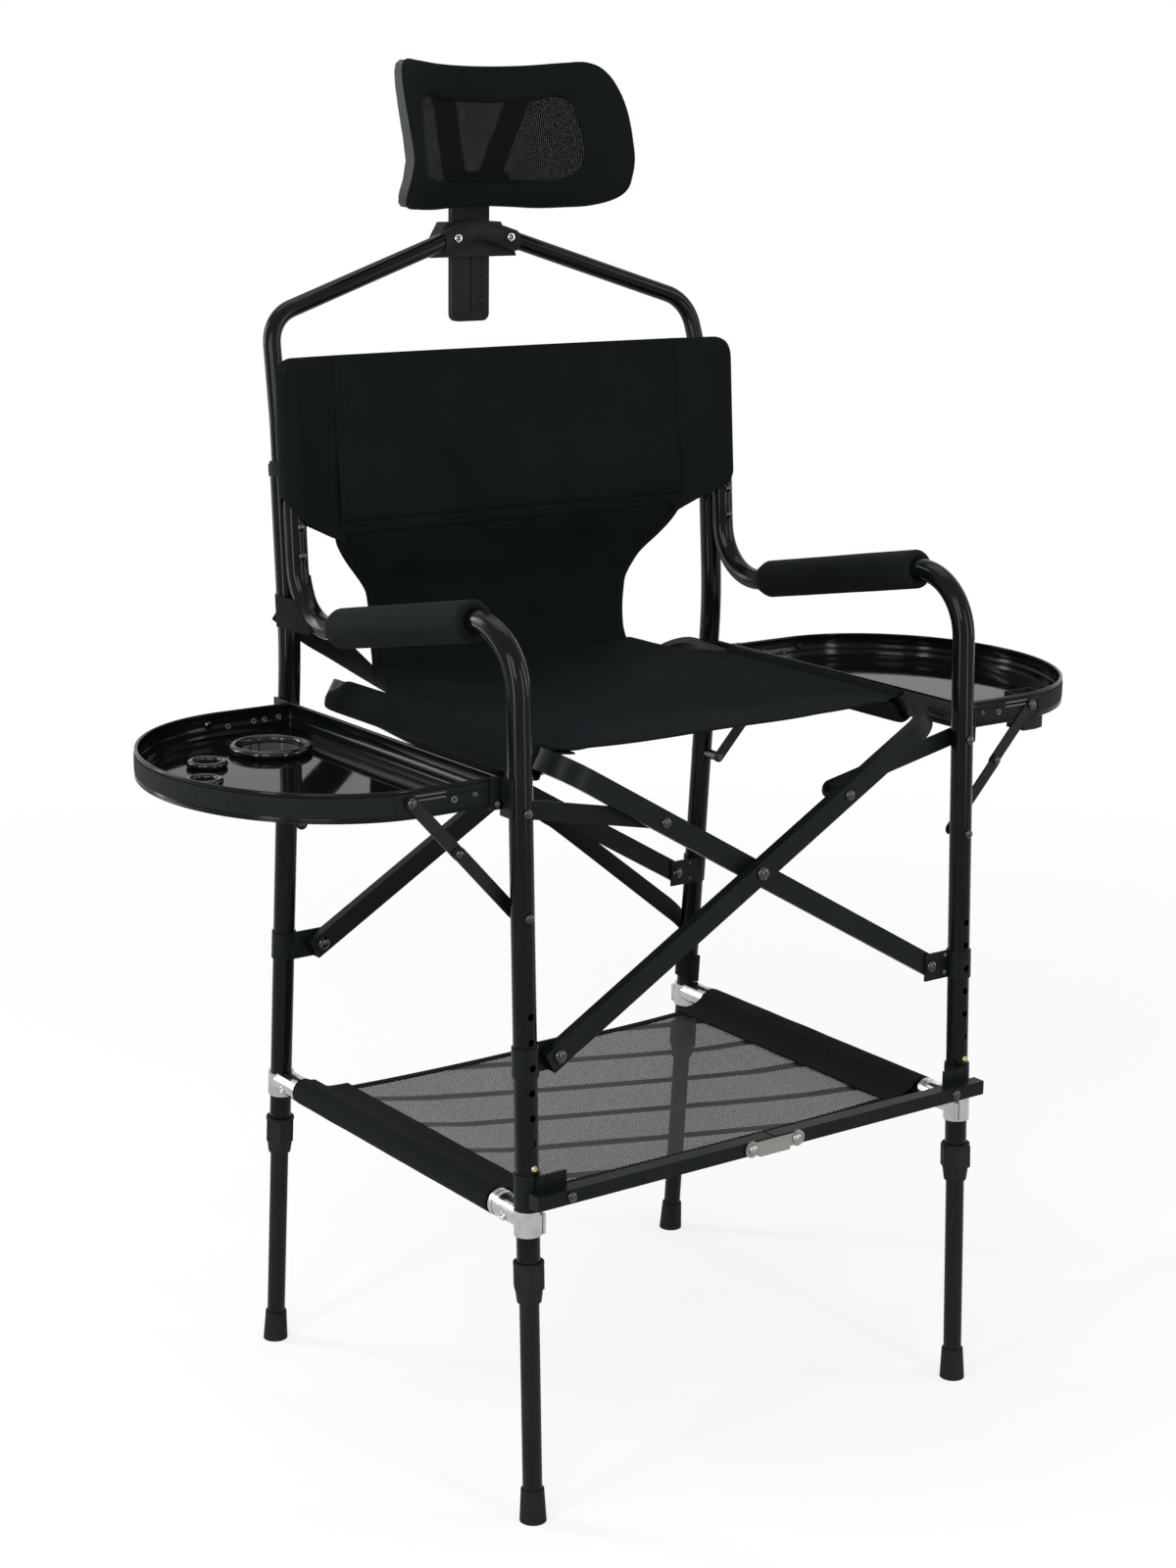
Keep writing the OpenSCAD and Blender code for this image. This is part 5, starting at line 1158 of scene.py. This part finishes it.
# (height, depth) of the front's middle line, then half outlines of the border and the window as (x, height)
HEAD_PROFILE = [(1335, 24), (1350, 13), (1372, 4), (1393, 0), (1420, 4), (1460, 13), (1510, 27)]
HEAD_OUTLINE = [
    (0, 1495), (60, 1497), (104, 1501), (122, 1502), (134, 1497.5), (141, 1488.5), (146.5, 1473),
    (149.5, 1455), (150.5, 1430), (150, 1396), (150.5, 1374), (150.5, 1361), (148, 1353.5), (141, 1346.5),
    (128, 1341), (100, 1338), (70, 1337), (42, 1338.5), (0, 1340),
]
HEAD_WINDOW = [
    (0, 1456), (60, 1459), (92, 1463), (101, 1459), (107, 1440), (110, 1412), (109, 1392), (104, 1378),
    (92, 1371), (60, 1367), (0, 1366),
]
HEAD_AXIS, HEAD_CURVE = 72.0, 190.0
# The border's section: (share of the way from the window to the rim, distance behind the front)
BORDER_LINE = [
    (0.0, 3.0), (0.03, 1.6), (0.1, -0.4), (0.25, -1.3), (0.5, -1.9), (0.75, -2.0), (0.9, -1.7),
    (0.97, -0.9), (0.995, 0.3), (1.0, 1.6),
]
SCREW_X, SCREW_AHEAD = 37.0, 14.25
HOOP_ARM_X, HOOP_RISE = 293.0, 93.0
SCREW_CUP = [
    (0, 2.4), (4.6, 2.4), (5.0, 1.2), (4.9, -0.2), (4.3, -0.9), (3.1, -1.0), (2.5, -0.6), (2.4, 1.6),
    (0, 1.7),
]
SCREW_HEX = [(0, 1.4), (1.3, 1.4), (1.25, -0.2), (0.9, -0.5), (0, -0.5)]


def polar(half, angle):
    """Reach of a mirrored outline from the headrest's middle, read at an angle."""
    left = [(-x, z) for x, z in half[-2:0:-1]]
    line = closed_through(half + left, 720)
    a = np.arctan2(line[:, 1] - HEAD_MIDDLE, line[:, 0])
    order = np.argsort(a)
    return np.interp(
        angle, a[order], np.hypot(line[:, 0], line[:, 1] - HEAD_MIDDLE)[order], period=2 * math.pi,
    )


def head_ring(reach, angle):
    """(x, z) at a reach and an angle from the headrest's middle."""
    return reach * np.cos(angle), HEAD_MIDDLE + reach * np.sin(angle)


def head_depth(x, z, off):
    """Depth of the headrest's curved front, off behind it."""
    reach = HEAD_CURVE + value_at(HEAD_PROFILE, np.clip(z, 1336, 1509)) + off
    return HEAD_AXIS + np.sqrt(reach**2 - x**2)


def lay_uv_across(piece):
    """Lays a piece's UV straight from its front view, one unit for each metre."""
    mesh = piece.data
    spots = np.empty(len(mesh.loops), dtype=np.int32)
    mesh.loops.foreach_get("vertex_index", spots)
    places = np.empty(len(mesh.vertices) * 3)
    mesh.vertices.foreach_get("co", places)
    flat = places.reshape(-1, 3)[spots][:, [0, 2]]
    mesh.uv_layers.active.data.foreach_set("uv", np.ascontiguousarray(flat).ravel())


class CHAIR_OT_headrest(bpy.types.Operator):
    """Makes the headrest's cloth border, its net window, the seam between them and the bracket's screws"""

    bl_idname = "chair.headrest"
    bl_label = "Headrest"

    def execute(self, context):
        a = np.linspace(-math.pi, math.pi, 241)[:-1]
        outer, inner = polar(HEAD_OUTLINE, a), polar(HEAD_WINDOW, a)
        rows = []
        for share, off in BORDER_LINE:
            x, z = head_ring(inner + share * (outer + 0.7 - inner), a)
            rows.append(np.stack([x, head_depth(x, z, off + 0.25 * wander(x, z, 22.0, 71)), z], axis=1))
        rings = np.array(rows)
        border = make_piece("head_border", grid(rings, wrap_v=True), MATERIALS["cloth"], turn_out=False)
        thicken(border, 1.4, 0.0)
        rows = []
        for share in np.linspace(0, 1, 26):
            x, z = head_ring(inner * share * 1.02, a)
            rows.append(np.stack([x, head_depth(x, z, 3.2), z], axis=1))
        window = np.array(rows)
        net = make_piece("head_window", grid(window, wrap_v=True), MATERIALS["head_net"], turn_out=False)
        lay_uv_across(net)
        seam = stitches(window[-1] + [0, -3.6, 0], (0, -1, 0), 2.6, 1.2, 0.6, 0.3)
        thread = make_piece("head_thread", seam, MATERIALS["thread"], smooth=False)
        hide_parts("head_net")
        for one in (border, net, thread):
            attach(one, "headrest")
        screw_z = HOOP_TOP - SCREW_X * HOOP_RISE / HOOP_ARM_X
        face = hoop_y(screw_z) - SCREW_AHEAD
        caps = []
        for side in (LEFT, RIGHT):
            for line, count in ((SCREW_CUP, 24), (SCREW_HEX, 6)):
                caps.append(lathe(line, (side * SCREW_X, face, screw_z), (0, 1, 0), count))
        screws = make_piece("hoop_screws", join(*caps), MATERIALS["chrome"])
        sharp_at(screws, 35)
        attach(screws, "headrest_hoop")
        return {"FINISHED"}


# Trays
TRAY_IN, TRAY_FLAT = 316.0, 89.0
TRAY_FRONT, TRAY_REAR = -225.2, 190.0
TRAY_A, TRAY_B = 183.0, 207.6
TRAY_Z = 775.0
BAND_FROM = 436.0
# Sections carried round or along a tray, as (height over its floor, distance outwards)
WALL_LINE = [
    (-2.0, -0.2), (-2.0, 0.5), (-1.3, 0.9), (-0.3, 0.9), (0.1, 0.3), (0.5, 0.0), (0.9, 0.5), (1.6, 0.6),
    (2.2, 0.2), (2.6, 0.0), (24.6, 0.0), (25.2, 0.5), (26.6, 0.75), (27.7, 0.5), (28.3, -0.3), (28.4, -1.2),
    (28.2, -2.2), (27.4, -3.0), (26.3, -3.0), (25.5, -2.4), (25.0, -2.0), (11.2, -2.0), (10.4, -2.6),
    (9.8, -3.2), (9.2, -2.7), (8.4, -2.9), (2.4, -3.0), (2.1, -3.2), (-0.2, -3.2), (-2.0, -3.2),
]
CHANNEL_LINE = [
    (-1.6, -0.6), (-1.6, 1.0), (-0.4, 1.2), (0.2, 0.4), (0.9, 0.4), (1.4, 1.2), (2.4, 1.2), (2.9, 0.5),
    (5.2, 0.5), (5.8, 1.1), (8.2, 1.15), (8.8, 0.55), (16.6, 0.55), (17.2, 1.15), (18.0, 1.15), (18.4, 0.6),
    (19.2, 0.6), (19.6, 1.15), (20.4, 1.2), (24.0, 1.2), (24.6, 0.6), (24.8, -0.6),
]
LEDGE_LINE = [
    (0, 0), (6.8, 0), (7.2, 1.0), (6.6, 2.2), (5.6, 2.3), (5.0, 1.5), (4.4, 1.5), (3.9, 2.3), (2.8, 2.4),
    (2.2, 1.6), (0, 1.6),
]
EYELET_LINE = [
    (0, 1.3), (0.9, 1.3), (1.3, 1.0), (1.5, 0.2), (1.9, -0.55), (2.6, -0.75), (3.1, -0.45), (3.3, 0.1),
    (3.3, 0.8),
]
EYELET_R = 3.3
# Eyelets of the right tray: (x, height over the tray), inside the rear wall
INNER_EYELETS = ((334, 14), (352, 13), (366, 13), (398, 11))
# Holder rings: (distance from the middle, depth, outer diameter, bead)
RINGS = ((400, 90, 90, 9), (490, 66, 43, 7), (530, -1, 40, 7))
SLOT_FROM, SLOT_TO = 382.0, 418.0


def tray_path(step=3.0, corner=4.0):
    """The right tray's outline from above, counter-clockwise: three straight sides and half an ellipse."""
    t = np.linspace(-math.pi / 2, math.pi / 2, 181)
    x0 = TRAY_IN + TRAY_FLAT
    curve = np.stack([x0 + TRAY_A * np.cos(t), TRAY_MIDDLE + TRAY_B * np.sin(t)], axis=1)
    a = np.linspace(0, math.pi / 2, 5)[:, None]
    sine, cosine = np.sin(a), np.cos(a)
    rear = [TRAY_IN + corner, TRAY_REAR - corner] + corner * np.hstack([-sine, cosine])
    front = [TRAY_IN + corner, TRAY_FRONT + corner] + corner * np.hstack([-cosine, -sine])
    line = np.concatenate([curve, rear, front, curve[:1]])
    line = spaced(np.column_stack([line, np.zeros(len(line))]), step)
    return line[:-1]


def on_side(shape, side):
    """A shape made for the right side, mirrored for the left one, with its faces turned back outwards."""
    points, faces, uv = shape
    if side == RIGHT:
        return shape
    return points * [-1, 1, 1], faces[:, ::-1], uv[:, ::-1]


def tray_shell(side):
    """The wall of a tray: a rolled top, a rib inside, a foot, and a double line round the foot's outside."""
    path = tray_path() + [0, 0, TRAY_Z]
    return on_side(carry(WALL_LINE, path, (0, 0, 1), closed=True), side)


def tray_band(side, proud):
    """The grained band on the outside of the round part, with soft edges and slack waves."""
    path = tray_path(2.5)
    keep = path[:, 0] >= BAND_FROM
    path = np.roll(path, -int(np.argmin(keep)), axis=0)
    path = path[path[:, 0] >= BAND_FROM] + [0, 0, TRAY_Z]
    if path[0, 1] > path[-1, 1]:
        path = path[::-1]
    crown = [(3.6, proud * 0.8), (5.0, proud), (13.0, proud + 0.15), (21.0, proud), (23.0, proud * 0.85)]
    profile = [(3.4, -1.0), (3.0, 0.2)] + crown + [(23.8, 0.2), (23.4, -1.0)]
    points, faces, uv = carry(profile, path, (0, 0, 1))
    points[:, 2] += 0.25 * wander(points[:, 0], points[:, 1], 16.0, 80 + side)
    return on_side((points, faces, uv), side)


def drawn_in(x):
    """How far the half ellipse has left the tray's straight end."""
    share = np.maximum(x - TRAY_IN - TRAY_FLAT, 0) / TRAY_A
    return TRAY_B - TRAY_B * np.sqrt(np.clip(1 - share**2, 0, 1))


def channel_line(side, y, way):
    """Grooved face of a tray's straight end: a thin extrusion carried along X."""
    x = np.linspace(TRAY_IN + 4.5, BAND_FROM + 2.0, 40)
    path = np.stack([x, np.full_like(x, y) - way * drawn_in(x), np.full_like(x, TRAY_Z)], axis=1)
    if way > 0:
        path = path[::-1]
    return on_side(carry(CHANNEL_LINE, path, (0, 0, 1)), side)


def ring_shape(x, y, outer, bead):
    """A holder ring of the left tray: a round bead on its floor."""
    torus = circle(bead / 2 + 0.4) + [outer / 2 - bead / 2, TRAY_Z + 2.1 + bead / 2]
    return lathe(np.concatenate([torus, torus[:1]]), (-x, y, 0), (0, 0, 1), 72)


def hollow_rivet(x, y, z, way, radius=EYELET_R):
    """An eyelet: a rolled lip round a sunk middle."""
    profile = [(r * radius / EYELET_R, -h) for r, h in EYELET_LINE]
    return lathe(profile, (x, y, z), (0, way, 0), 20)


class CHAIR_OT_trays(bpy.types.Operator):
    """Makes both trays' walls, grooved ends, grained bands, rings, inner ledges, slot rims and eyelets"""

    bl_idname = "chair.trays"
    bl_label = "Trays"

    def execute(self, context):
        sizes = context.scene.chair_sizes
        for side in (LEFT, RIGHT):
            name = SIDE_NAME[side]
            made = []
            shell = make_piece(f"tray_shell_{name}", tray_shell(side), MATERIALS["paint"])
            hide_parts(f"{name}_tray_wall")
            made.append((shell, "tray_band"))
            band = make_piece(f"tray_grain_{name}", tray_band(side, sizes.band), MATERIALS["band"])
            made.append((band, "tray_band"))
            ends = join(channel_line(side, TRAY_FRONT, -1), channel_line(side, TRAY_REAR, 1))
            channel = make_piece(f"tray_channels_{name}", ends, MATERIALS["satin"])
            sharp_at(channel, 30)
            made.append((channel, "tray_band"))
            y = np.linspace(TRAY_REAR - 6, TRAY_FRONT + 6, 60)
            path = np.stack([np.full_like(y, TRAY_IN + 3.0), y, np.full_like(y, TRAY_Z + 1.9)], axis=1)
            ledge = on_side(carry(LEDGE_LINE * np.array([1, -1]), path, (1, 0, 0)), side)
            lip = make_piece(f"tray_ledge_{name}", ledge, MATERIALS["gloss"])
            sharp_at(lip, 35)
            made.append((lip, "tray_band"))
            x = np.linspace(SLOT_FROM, SLOT_TO, 20)
            rims = []
            for z in (TRAY_Z + 16.6, TRAY_Z + 21.2):
                line = np.stack([x, TRAY_FRONT - 0.7 + drawn_in(x), np.full_like(x, z)], axis=1)
                rims.append(on_side(carry(circle(0.9, 10), line, (0, 0, 1)), side))
            rim = make_piece(f"tray_slot_{name}", join(*rims), MATERIALS["eyelet"])
            made.append((rim, "tray_band"))
            eyes = [hollow_rivet(side * x, TRAY_REAR - 3.2, TRAY_Z + up, -1) for x, up in INNER_EYELETS]
            for x, y, up, way, radius in (
                (347, TRAY_FRONT - 1.1, 14, -1, 2.6),
                (372, TRAY_FRONT - 1.1, 12, -1, 3.6),
                (372, TRAY_REAR + 1.1, 12, 1, 3.6),
            ):
                eyes.append(hollow_rivet(side * x, y, TRAY_Z + up, way, radius))
            rivets = make_piece(f"tray_eyelets_{name}", join(*eyes), MATERIALS["eyelet"])
            made.append((rivets, "tray_band"))
            if side == LEFT:
                rings = join(*(ring_shape(*ring) for ring in RINGS))
                made.append((make_piece("tray_rings_left", rings, MATERIALS["gloss"]), "tray_fittings"))
            for piece, finish in made:
                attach(piece, "tray_" + name)
        return {"FINISHED"}


# Fasteners
STAY_TOP = (422.6, 790.0)
STAY_LOW_Z, STAY_UPPER = 660.0, 80.0
BAR_Z, BAR_END_X, LATCH_X, PLATE_AHEAD = 364.5, 269.5, 30.5, 16.8
CROSS_PIN = 138.8
CLAMP_SCREW = [(0, 1.4), (1.2, 1.4), (1.5, -0.4), (2.6, -1.2), (4.2, -1.1), (4.9, -0.2), (4.9, 1.6)]
CLAMP_OUT, CLAMP_ALONG, CLAMP_Z = 14.2, 26.0, 334.0
SLEEVE_SCREWS, BRACKET_Z = (967.0, 999.0), 768.0
HINGE_X, HINGE_Z = 322.0, 776.0
GUIDE_X, GUIDE_RISE = 17.5, 10
# Radii of the heads
SCREW_R, BOLT_R, HINGE_R, PIVOT_R, GUIDE_R = 4.6, 5.1, 4.3, 7.4, 3.7
STAY_R, PIN_R, CROSS_R, LATCH_R = 5.6, 6.1, 7.6, 6.2


class CHAIR_OT_fasteners(bpy.types.Operator):
    """Caps every rivet and bolt head with a turned dome, and adds the clamp screws"""

    bl_idname = "chair.fasteners"
    bl_label = "Fasteners"

    def execute(self, context):
        high = context.scene.chair_sizes.rivet
        groups = {}

        def cap(body, *numbers):
            groups.setdefault(body, []).append(dome(*numbers))

        way = np.array([LEG_X, STAY_LOW_Z]) - np.array(STAY_TOP)
        knee = np.array(STAY_TOP) + way / np.linalg.norm(way) * STAY_UPPER
        for side in (LEFT, RIGHT):
            name = SIDE_NAME[side]
            x, body = side * LEG_X, name + "_frame"
            for z in SLEEVE_SCREWS:
                cap(body, x, z, upright_y(z) - TUBE_R - 0.5, -1, SCREW_R, high)
            cap(body, x, BRACKET_Z, front_y(BRACKET_Z) - TUBE_R - 0.3, -1, BOLT_R, high)
            cap(body, x, BRACKET_Z, front_y(BRACKET_Z + 26) + TUBE_R + 3.1, 1, BOLT_R, high)
            cap(body, x, STAY_LOW_Z, front_y(STAY_LOW_Z) - TUBE_R - 0.3, -1, BOLT_R, high)
            cap(body, x, STAY_LOW_Z, rear_y(STAY_LOW_Z) + TUBE_R + 0.4, 1, BOLT_R, high)
            cap(body, side * HINGE_X, HINGE_Z, TRAY_FRONT - 3.9, -1, HINGE_R, high)
            cap(body, side * HINGE_X, HINGE_Z, TRAY_REAR + 3.9, 1, HINGE_R, high)
            ends = ((A_FRONT - 0.3, EAR_FRONT + 2.6), (A_REAR - 0.3, EAR_REAR + 2.6))
            if side > 0:
                ends = (
                    (EAR_FRONT - 0.1, B_FRONT + MEMBER_T + 0.3), (EAR_REAR - 0.1, B_REAR + MEMBER_T + 0.3),
                )
            for front, rear in ends:
                cap(body, side * PIVOT[0], PIVOT[1], front, -1, PIVOT_R, high + 1)
                cap(body, side * PIVOT[0], PIVOT[1], rear, 1, PIVOT_R, high + 1)
            if side > 0:
                for rise in (-GUIDE_RISE, GUIDE_RISE):
                    cap(body, LEG_X - GUIDE_X, PIVOT[1] + rise, EAR_FRONT - 0.1, -1, GUIDE_R, 2.0)
                    cap(body, LEG_X - GUIDE_X, PIVOT[1] + rise, EAR_REAR + 2.6, 1, GUIDE_R, 2.0)
            tray = "tray_" + name
            cap(tray, side * STAY_TOP[0], STAY_TOP[1], TRAY_FRONT - 2.7, -1, STAY_R, high + 0.4)
            cap(tray, side * STAY_TOP[0], STAY_TOP[1], TRAY_REAR + 2.7, 1, STAY_R, high + 0.4)
            stay = "stay_lower_" + name
            cap(stay, side * knee[0], knee[1], TRAY_FRONT - 4.8, -1, SCREW_R, high)
            cap(stay, side * knee[0], knee[1], TRAY_REAR + 4.8, 1, SCREW_R, high)
        pin_x, pin_z = CROSS_PIN * D_WAY[0], CROSS_Z + CROSS_PIN * D_WAY[1]
        cap("seat_frame_right", pin_x, pin_z, A_FRONT - 0.1, -1, PIN_R, high)
        cap("seat_frame_left", -pin_x, pin_z, B_FRONT - 0.1, -1, PIN_R, high)
        for front, rear in (
            (A_FRONT - 0.3, B_FRONT + MEMBER_T + 0.3), (A_REAR - 0.3, B_REAR + MEMBER_T + 0.3),
        ):
            cap("seat_frame_right", 0, CROSS_Z, front, -1, CROSS_R, high + 1)
            cap("seat_frame_right", 0, CROSS_Z, rear, 1, CROSS_R, high + 1)
        plate = front_y(BAR_Z) - PLATE_AHEAD
        cap("left_frame", -BAR_END_X, BAR_Z, plate - 17.3, -1, STAY_R, high)
        cap("bar_right", BAR_END_X, BAR_Z, plate - 17.0, -1, STAY_R, high)
        for body, shapes in groups.items():
            piece = make_piece("caps_" + body, join(*shapes), MATERIALS["rivet"])
            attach(piece, body)
        heads = [dome(side * LATCH_X, BAR_Z, plate - 20.0, -1, LATCH_R, 3.4) for side in (LEFT, RIGHT)]
        piece = make_piece("caps_bar_centre", join(*heads), MATERIALS["plate"])
        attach(piece, "bar_centre")
        for side in (LEFT, RIGHT):
            screws = []
            for y in (front_y(SHELF_Z) + CLAMP_ALONG, rear_y(SHELF_Z) - CLAMP_ALONG):
                centre = (side * (LEG_X + CLAMP_OUT), y, CLAMP_Z)
                screws.append(lathe([(r, -h) for r, h in CLAMP_SCREW], centre, (side, 0, 0), 24))
            made = make_piece("clamp_screws_" + SIDE_NAME[side], join(*screws), MATERIALS["chrome"])
            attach(made, SIDE_NAME[side] + "_frame")
        return {"FINISHED"}


# Finishes of the frame's own parts
FINISHES = [
    ("arm_tube", "paint"), ("rear_post", "paint"), ("post_collar", "plastic"), ("brackets", "satin"),
    ("shelf_clamps", "chrome"), ("shelf_tube", "charcoal"), ("rivets", "rivet"), ("cross_bolts", "rivet"),
    ("_foot", "rubber"), ("_button", "brass"), ("_collar", "plastic"), ("tray_floor", "tray"),
    ("tray_rings", "rivet"), ("tray_pocket", "plastic"), ("upper_stays", "stay"), ("lower_stays", "stay"),
    ("seat_frame", "satin"), ("guide_link", "satin"), ("bar_latch", "plate"), ("_bar", "satin"),
    ("hoop_clamp", "plastic"), ("hoop", "paint"), ("head_stem", "plastic"), ("head_yoke", "plastic"),
    ("head_frame", "lip"), ("_leg", "charcoal"),
]


class CHAIR_OT_finishes(bpy.types.Operator):
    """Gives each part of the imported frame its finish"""

    bl_idname = "chair.finishes"
    bl_label = "Frame finishes"

    def execute(self, context):
        for name, node in nodes.items():
            for part, key in FINISHES:
                if part in name:
                    node.data.materials.clear()
                    node.data.materials.append(MATERIALS[key])
                    break
        return {"FINISHED"}


# Studio: each lamp has a place, a target, a power, a width and a height
LAMPS = (
    ("key", (-3.0, -2.6, 3.1), (0, 0, 0.8), 75, 1.4, 2.2),
    ("fill", (2.9, -2.4, 1.9), (0, 0, 0.8), 40, 1.0, 2.4),
    ("top", (0.2, 0.6, 3.9), (0, 0, 0.6), 30, 2.6, 1.6),
    ("rear", (-2.4, 2.6, 2.4), (0, 0, 0.9), 40, 0.8, 2.2),
    ("left strip", (-2.9, -0.8, 1.4), (0, 0, 0.8), 45, 0.35, 2.4),
    ("front strip", (0.3, -3.0, 1.4), (0, 0, 0.8), 30, 0.35, 2.4),
    ("rear strip", (-1.9, 2.4, 1.4), (0, 0, 0.8), 24, 0.35, 2.4),
)
FLOOR_HALF = 30
CAMERA_PLACE = (-1.85747, -2.49301, 1.47139)
CAMERA_RIGHT = (0.80899, -0.58770, 0.01230)
CAMERA_FORWARD = (0.57296, 0.78367, -0.23996)
PHOTO_HEIGHT, FOCAL_PIXELS, SENSOR = 1600, 2864.8, 36.0


def mirror_and_lens_rays(tree, *more):
    """1 for rays from the camera, for glossy ones and for any named kind; 0 for the rest."""
    path = tree.nodes.new("ShaderNodeLightPath").outputs
    seen = maths(tree, "MAXIMUM", path["Is Camera Ray"], path["Is Glossy Ray"])
    for kind in more:
        seen = maths(tree, "MAXIMUM", seen, path[kind])
    return seen


class CHAIR_OT_stage(bpy.types.Operator):
    """Makes the floor, the lamps, the world and the camera"""

    bl_idname = "chair.stage"
    bl_label = "Studio"

    def execute(self, context):
        scene = context.scene
        floor = bpy.data.meshes.new("studio_floor")
        corners = [(x * FLOOR_HALF, y * FLOOR_HALF, 0) for x, y in ((-1, -1), (1, -1), (1, 1), (-1, 1))]
        floor.from_pydata(corners, [], [(0, 1, 2, 3)])
        piece = bpy.data.objects.new("studio_floor", floor)
        scene.collection.objects.link(piece)
        material, tree, shader = new_material("Studio Floor", Roughness=0.95, Specular_IOR_Level=0.1)
        grain = noise(tree, place_of(tree), 180.0, 3.0)
        base = tuple(scene.chair_finish.floor)
        tree.links.new(mix(tree, grain, tuple(c * 0.985 for c in base), base), shader.inputs["Base Color"])
        glow = add(tree, "ShaderNodeEmission", {"Color": (1, 1, 1, 1), "Strength": 1.0})
        reach = add(tree, "ShaderNodeVectorMath", {0: place_of(tree)}, operation="LENGTH").outputs["Value"]
        span = {"Value": reach, "From Min": 0.7, "From Max": 3.2, "To Min": 0.74, "To Max": 1.0}
        far = add(tree, "ShaderNodeMapRange", span, interpolation_type="SMOOTHSTEP").outputs["Result"]
        part = maths(tree, "MULTIPLY", mirror_and_lens_rays(tree), far)
        blend = add(tree, "ShaderNodeMixShader", {0: part, 1: shader.outputs[0], 2: glow.outputs[0]})
        tree.links.new(blend.outputs[0], tree.nodes["Material Output"].inputs["Surface"])
        floor.materials.append(material)
        world = bpy.data.worlds.new("Studio World")
        world.use_nodes = True
        tree = world.node_tree
        background = tree.nodes["Background"]
        background.inputs["Color"].default_value = (1, 1, 1, 1)
        seen = mirror_and_lens_rays(tree, "Is Transmission Ray")
        tree.links.new(maths(tree, "MULTIPLY_ADD", seen, 0.55, 0.45), background.inputs["Strength"])
        scene.world = world
        for name, place, target, energy, width, height in LAMPS:
            lamp = bpy.data.lights.new(name, "AREA")
            lamp.shape, lamp.size, lamp.size_y, lamp.energy = "RECTANGLE", width, height, energy
            thing = bpy.data.objects.new(name, lamp)
            thing.location = place
            thing.rotation_euler = (Vector(target) - Vector(place)).to_track_quat("-Z", "Y").to_euler()
            scene.collection.objects.link(thing)
        camera = bpy.data.cameras.new("camera")
        camera.sensor_width, camera.lens, camera.clip_end = SENSOR, SENSOR * FOCAL_PIXELS / PHOTO_HEIGHT, 60.0
        view = bpy.data.objects.new("camera", camera)
        right, forward = Vector(CAMERA_RIGHT).normalized(), Vector(CAMERA_FORWARD).normalized()
        up = right.cross(forward).normalized()
        turn = Matrix((right, up, -forward)).transposed().to_4x4()
        view.matrix_world = Matrix.Translation(CAMERA_PLACE) @ turn
        scene.collection.objects.link(view)
        scene.camera = view
        scene.view_settings.view_transform = "Standard"
        return {"FINISHED"}


OPERATORS = (
    CHAIR_OT_materials, CHAIR_OT_finishes, CHAIR_OT_back, CHAIR_OT_seat, CHAIR_OT_shelf, CHAIR_OT_strap,
    CHAIR_OT_pads, CHAIR_OT_headrest, CHAIR_OT_trays, CHAIR_OT_fasteners, CHAIR_OT_stage,
)


class CHAIR_PT_panel(bpy.types.Panel):
    """Sidebar panel with the sizes, the colours and a button for each group of pieces"""

    bl_idname = "CHAIR_PT_panel"
    bl_label = "Makeup Chair"
    bl_space_type = "VIEW_3D"
    bl_region_type = "UI"
    bl_category = "Makeup Chair"

    def draw(self, context):
        layout = self.layout
        for group, title in (
            (context.scene.chair_sizes, "Sizes (mm)"), (context.scene.chair_finish, "Colours"),
        ):
            box = layout.box()
            box.label(text=title)
            for key in group.__class__.__annotations__:
                box.prop(group, key)
        column = layout.column(align=True)
        for operator in OPERATORS:
            column.operator(operator.bl_idname)


CLASSES = (ChairSizes, ChairFinish, *OPERATORS, CHAIR_PT_panel)


def register():
    """Adds the classes, and the sizes and colours to the scene."""
    for item in CLASSES:
        bpy.utils.register_class(item)
    bpy.types.Scene.chair_sizes = bpy.props.PointerProperty(type=ChairSizes)
    bpy.types.Scene.chair_finish = bpy.props.PointerProperty(type=ChairFinish)


def unregister():
    """Removes them again."""
    del bpy.types.Scene.chair_sizes
    del bpy.types.Scene.chair_finish
    for item in reversed(CLASSES):
        bpy.utils.unregister_class(item)


def main():
    """Registers the add-on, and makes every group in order."""
    register()
    for operator in OPERATORS:
        group, action = operator.bl_idname.split(".")
        getattr(getattr(bpy.ops, group), action)()


if __name__ == "__main__":
    main()
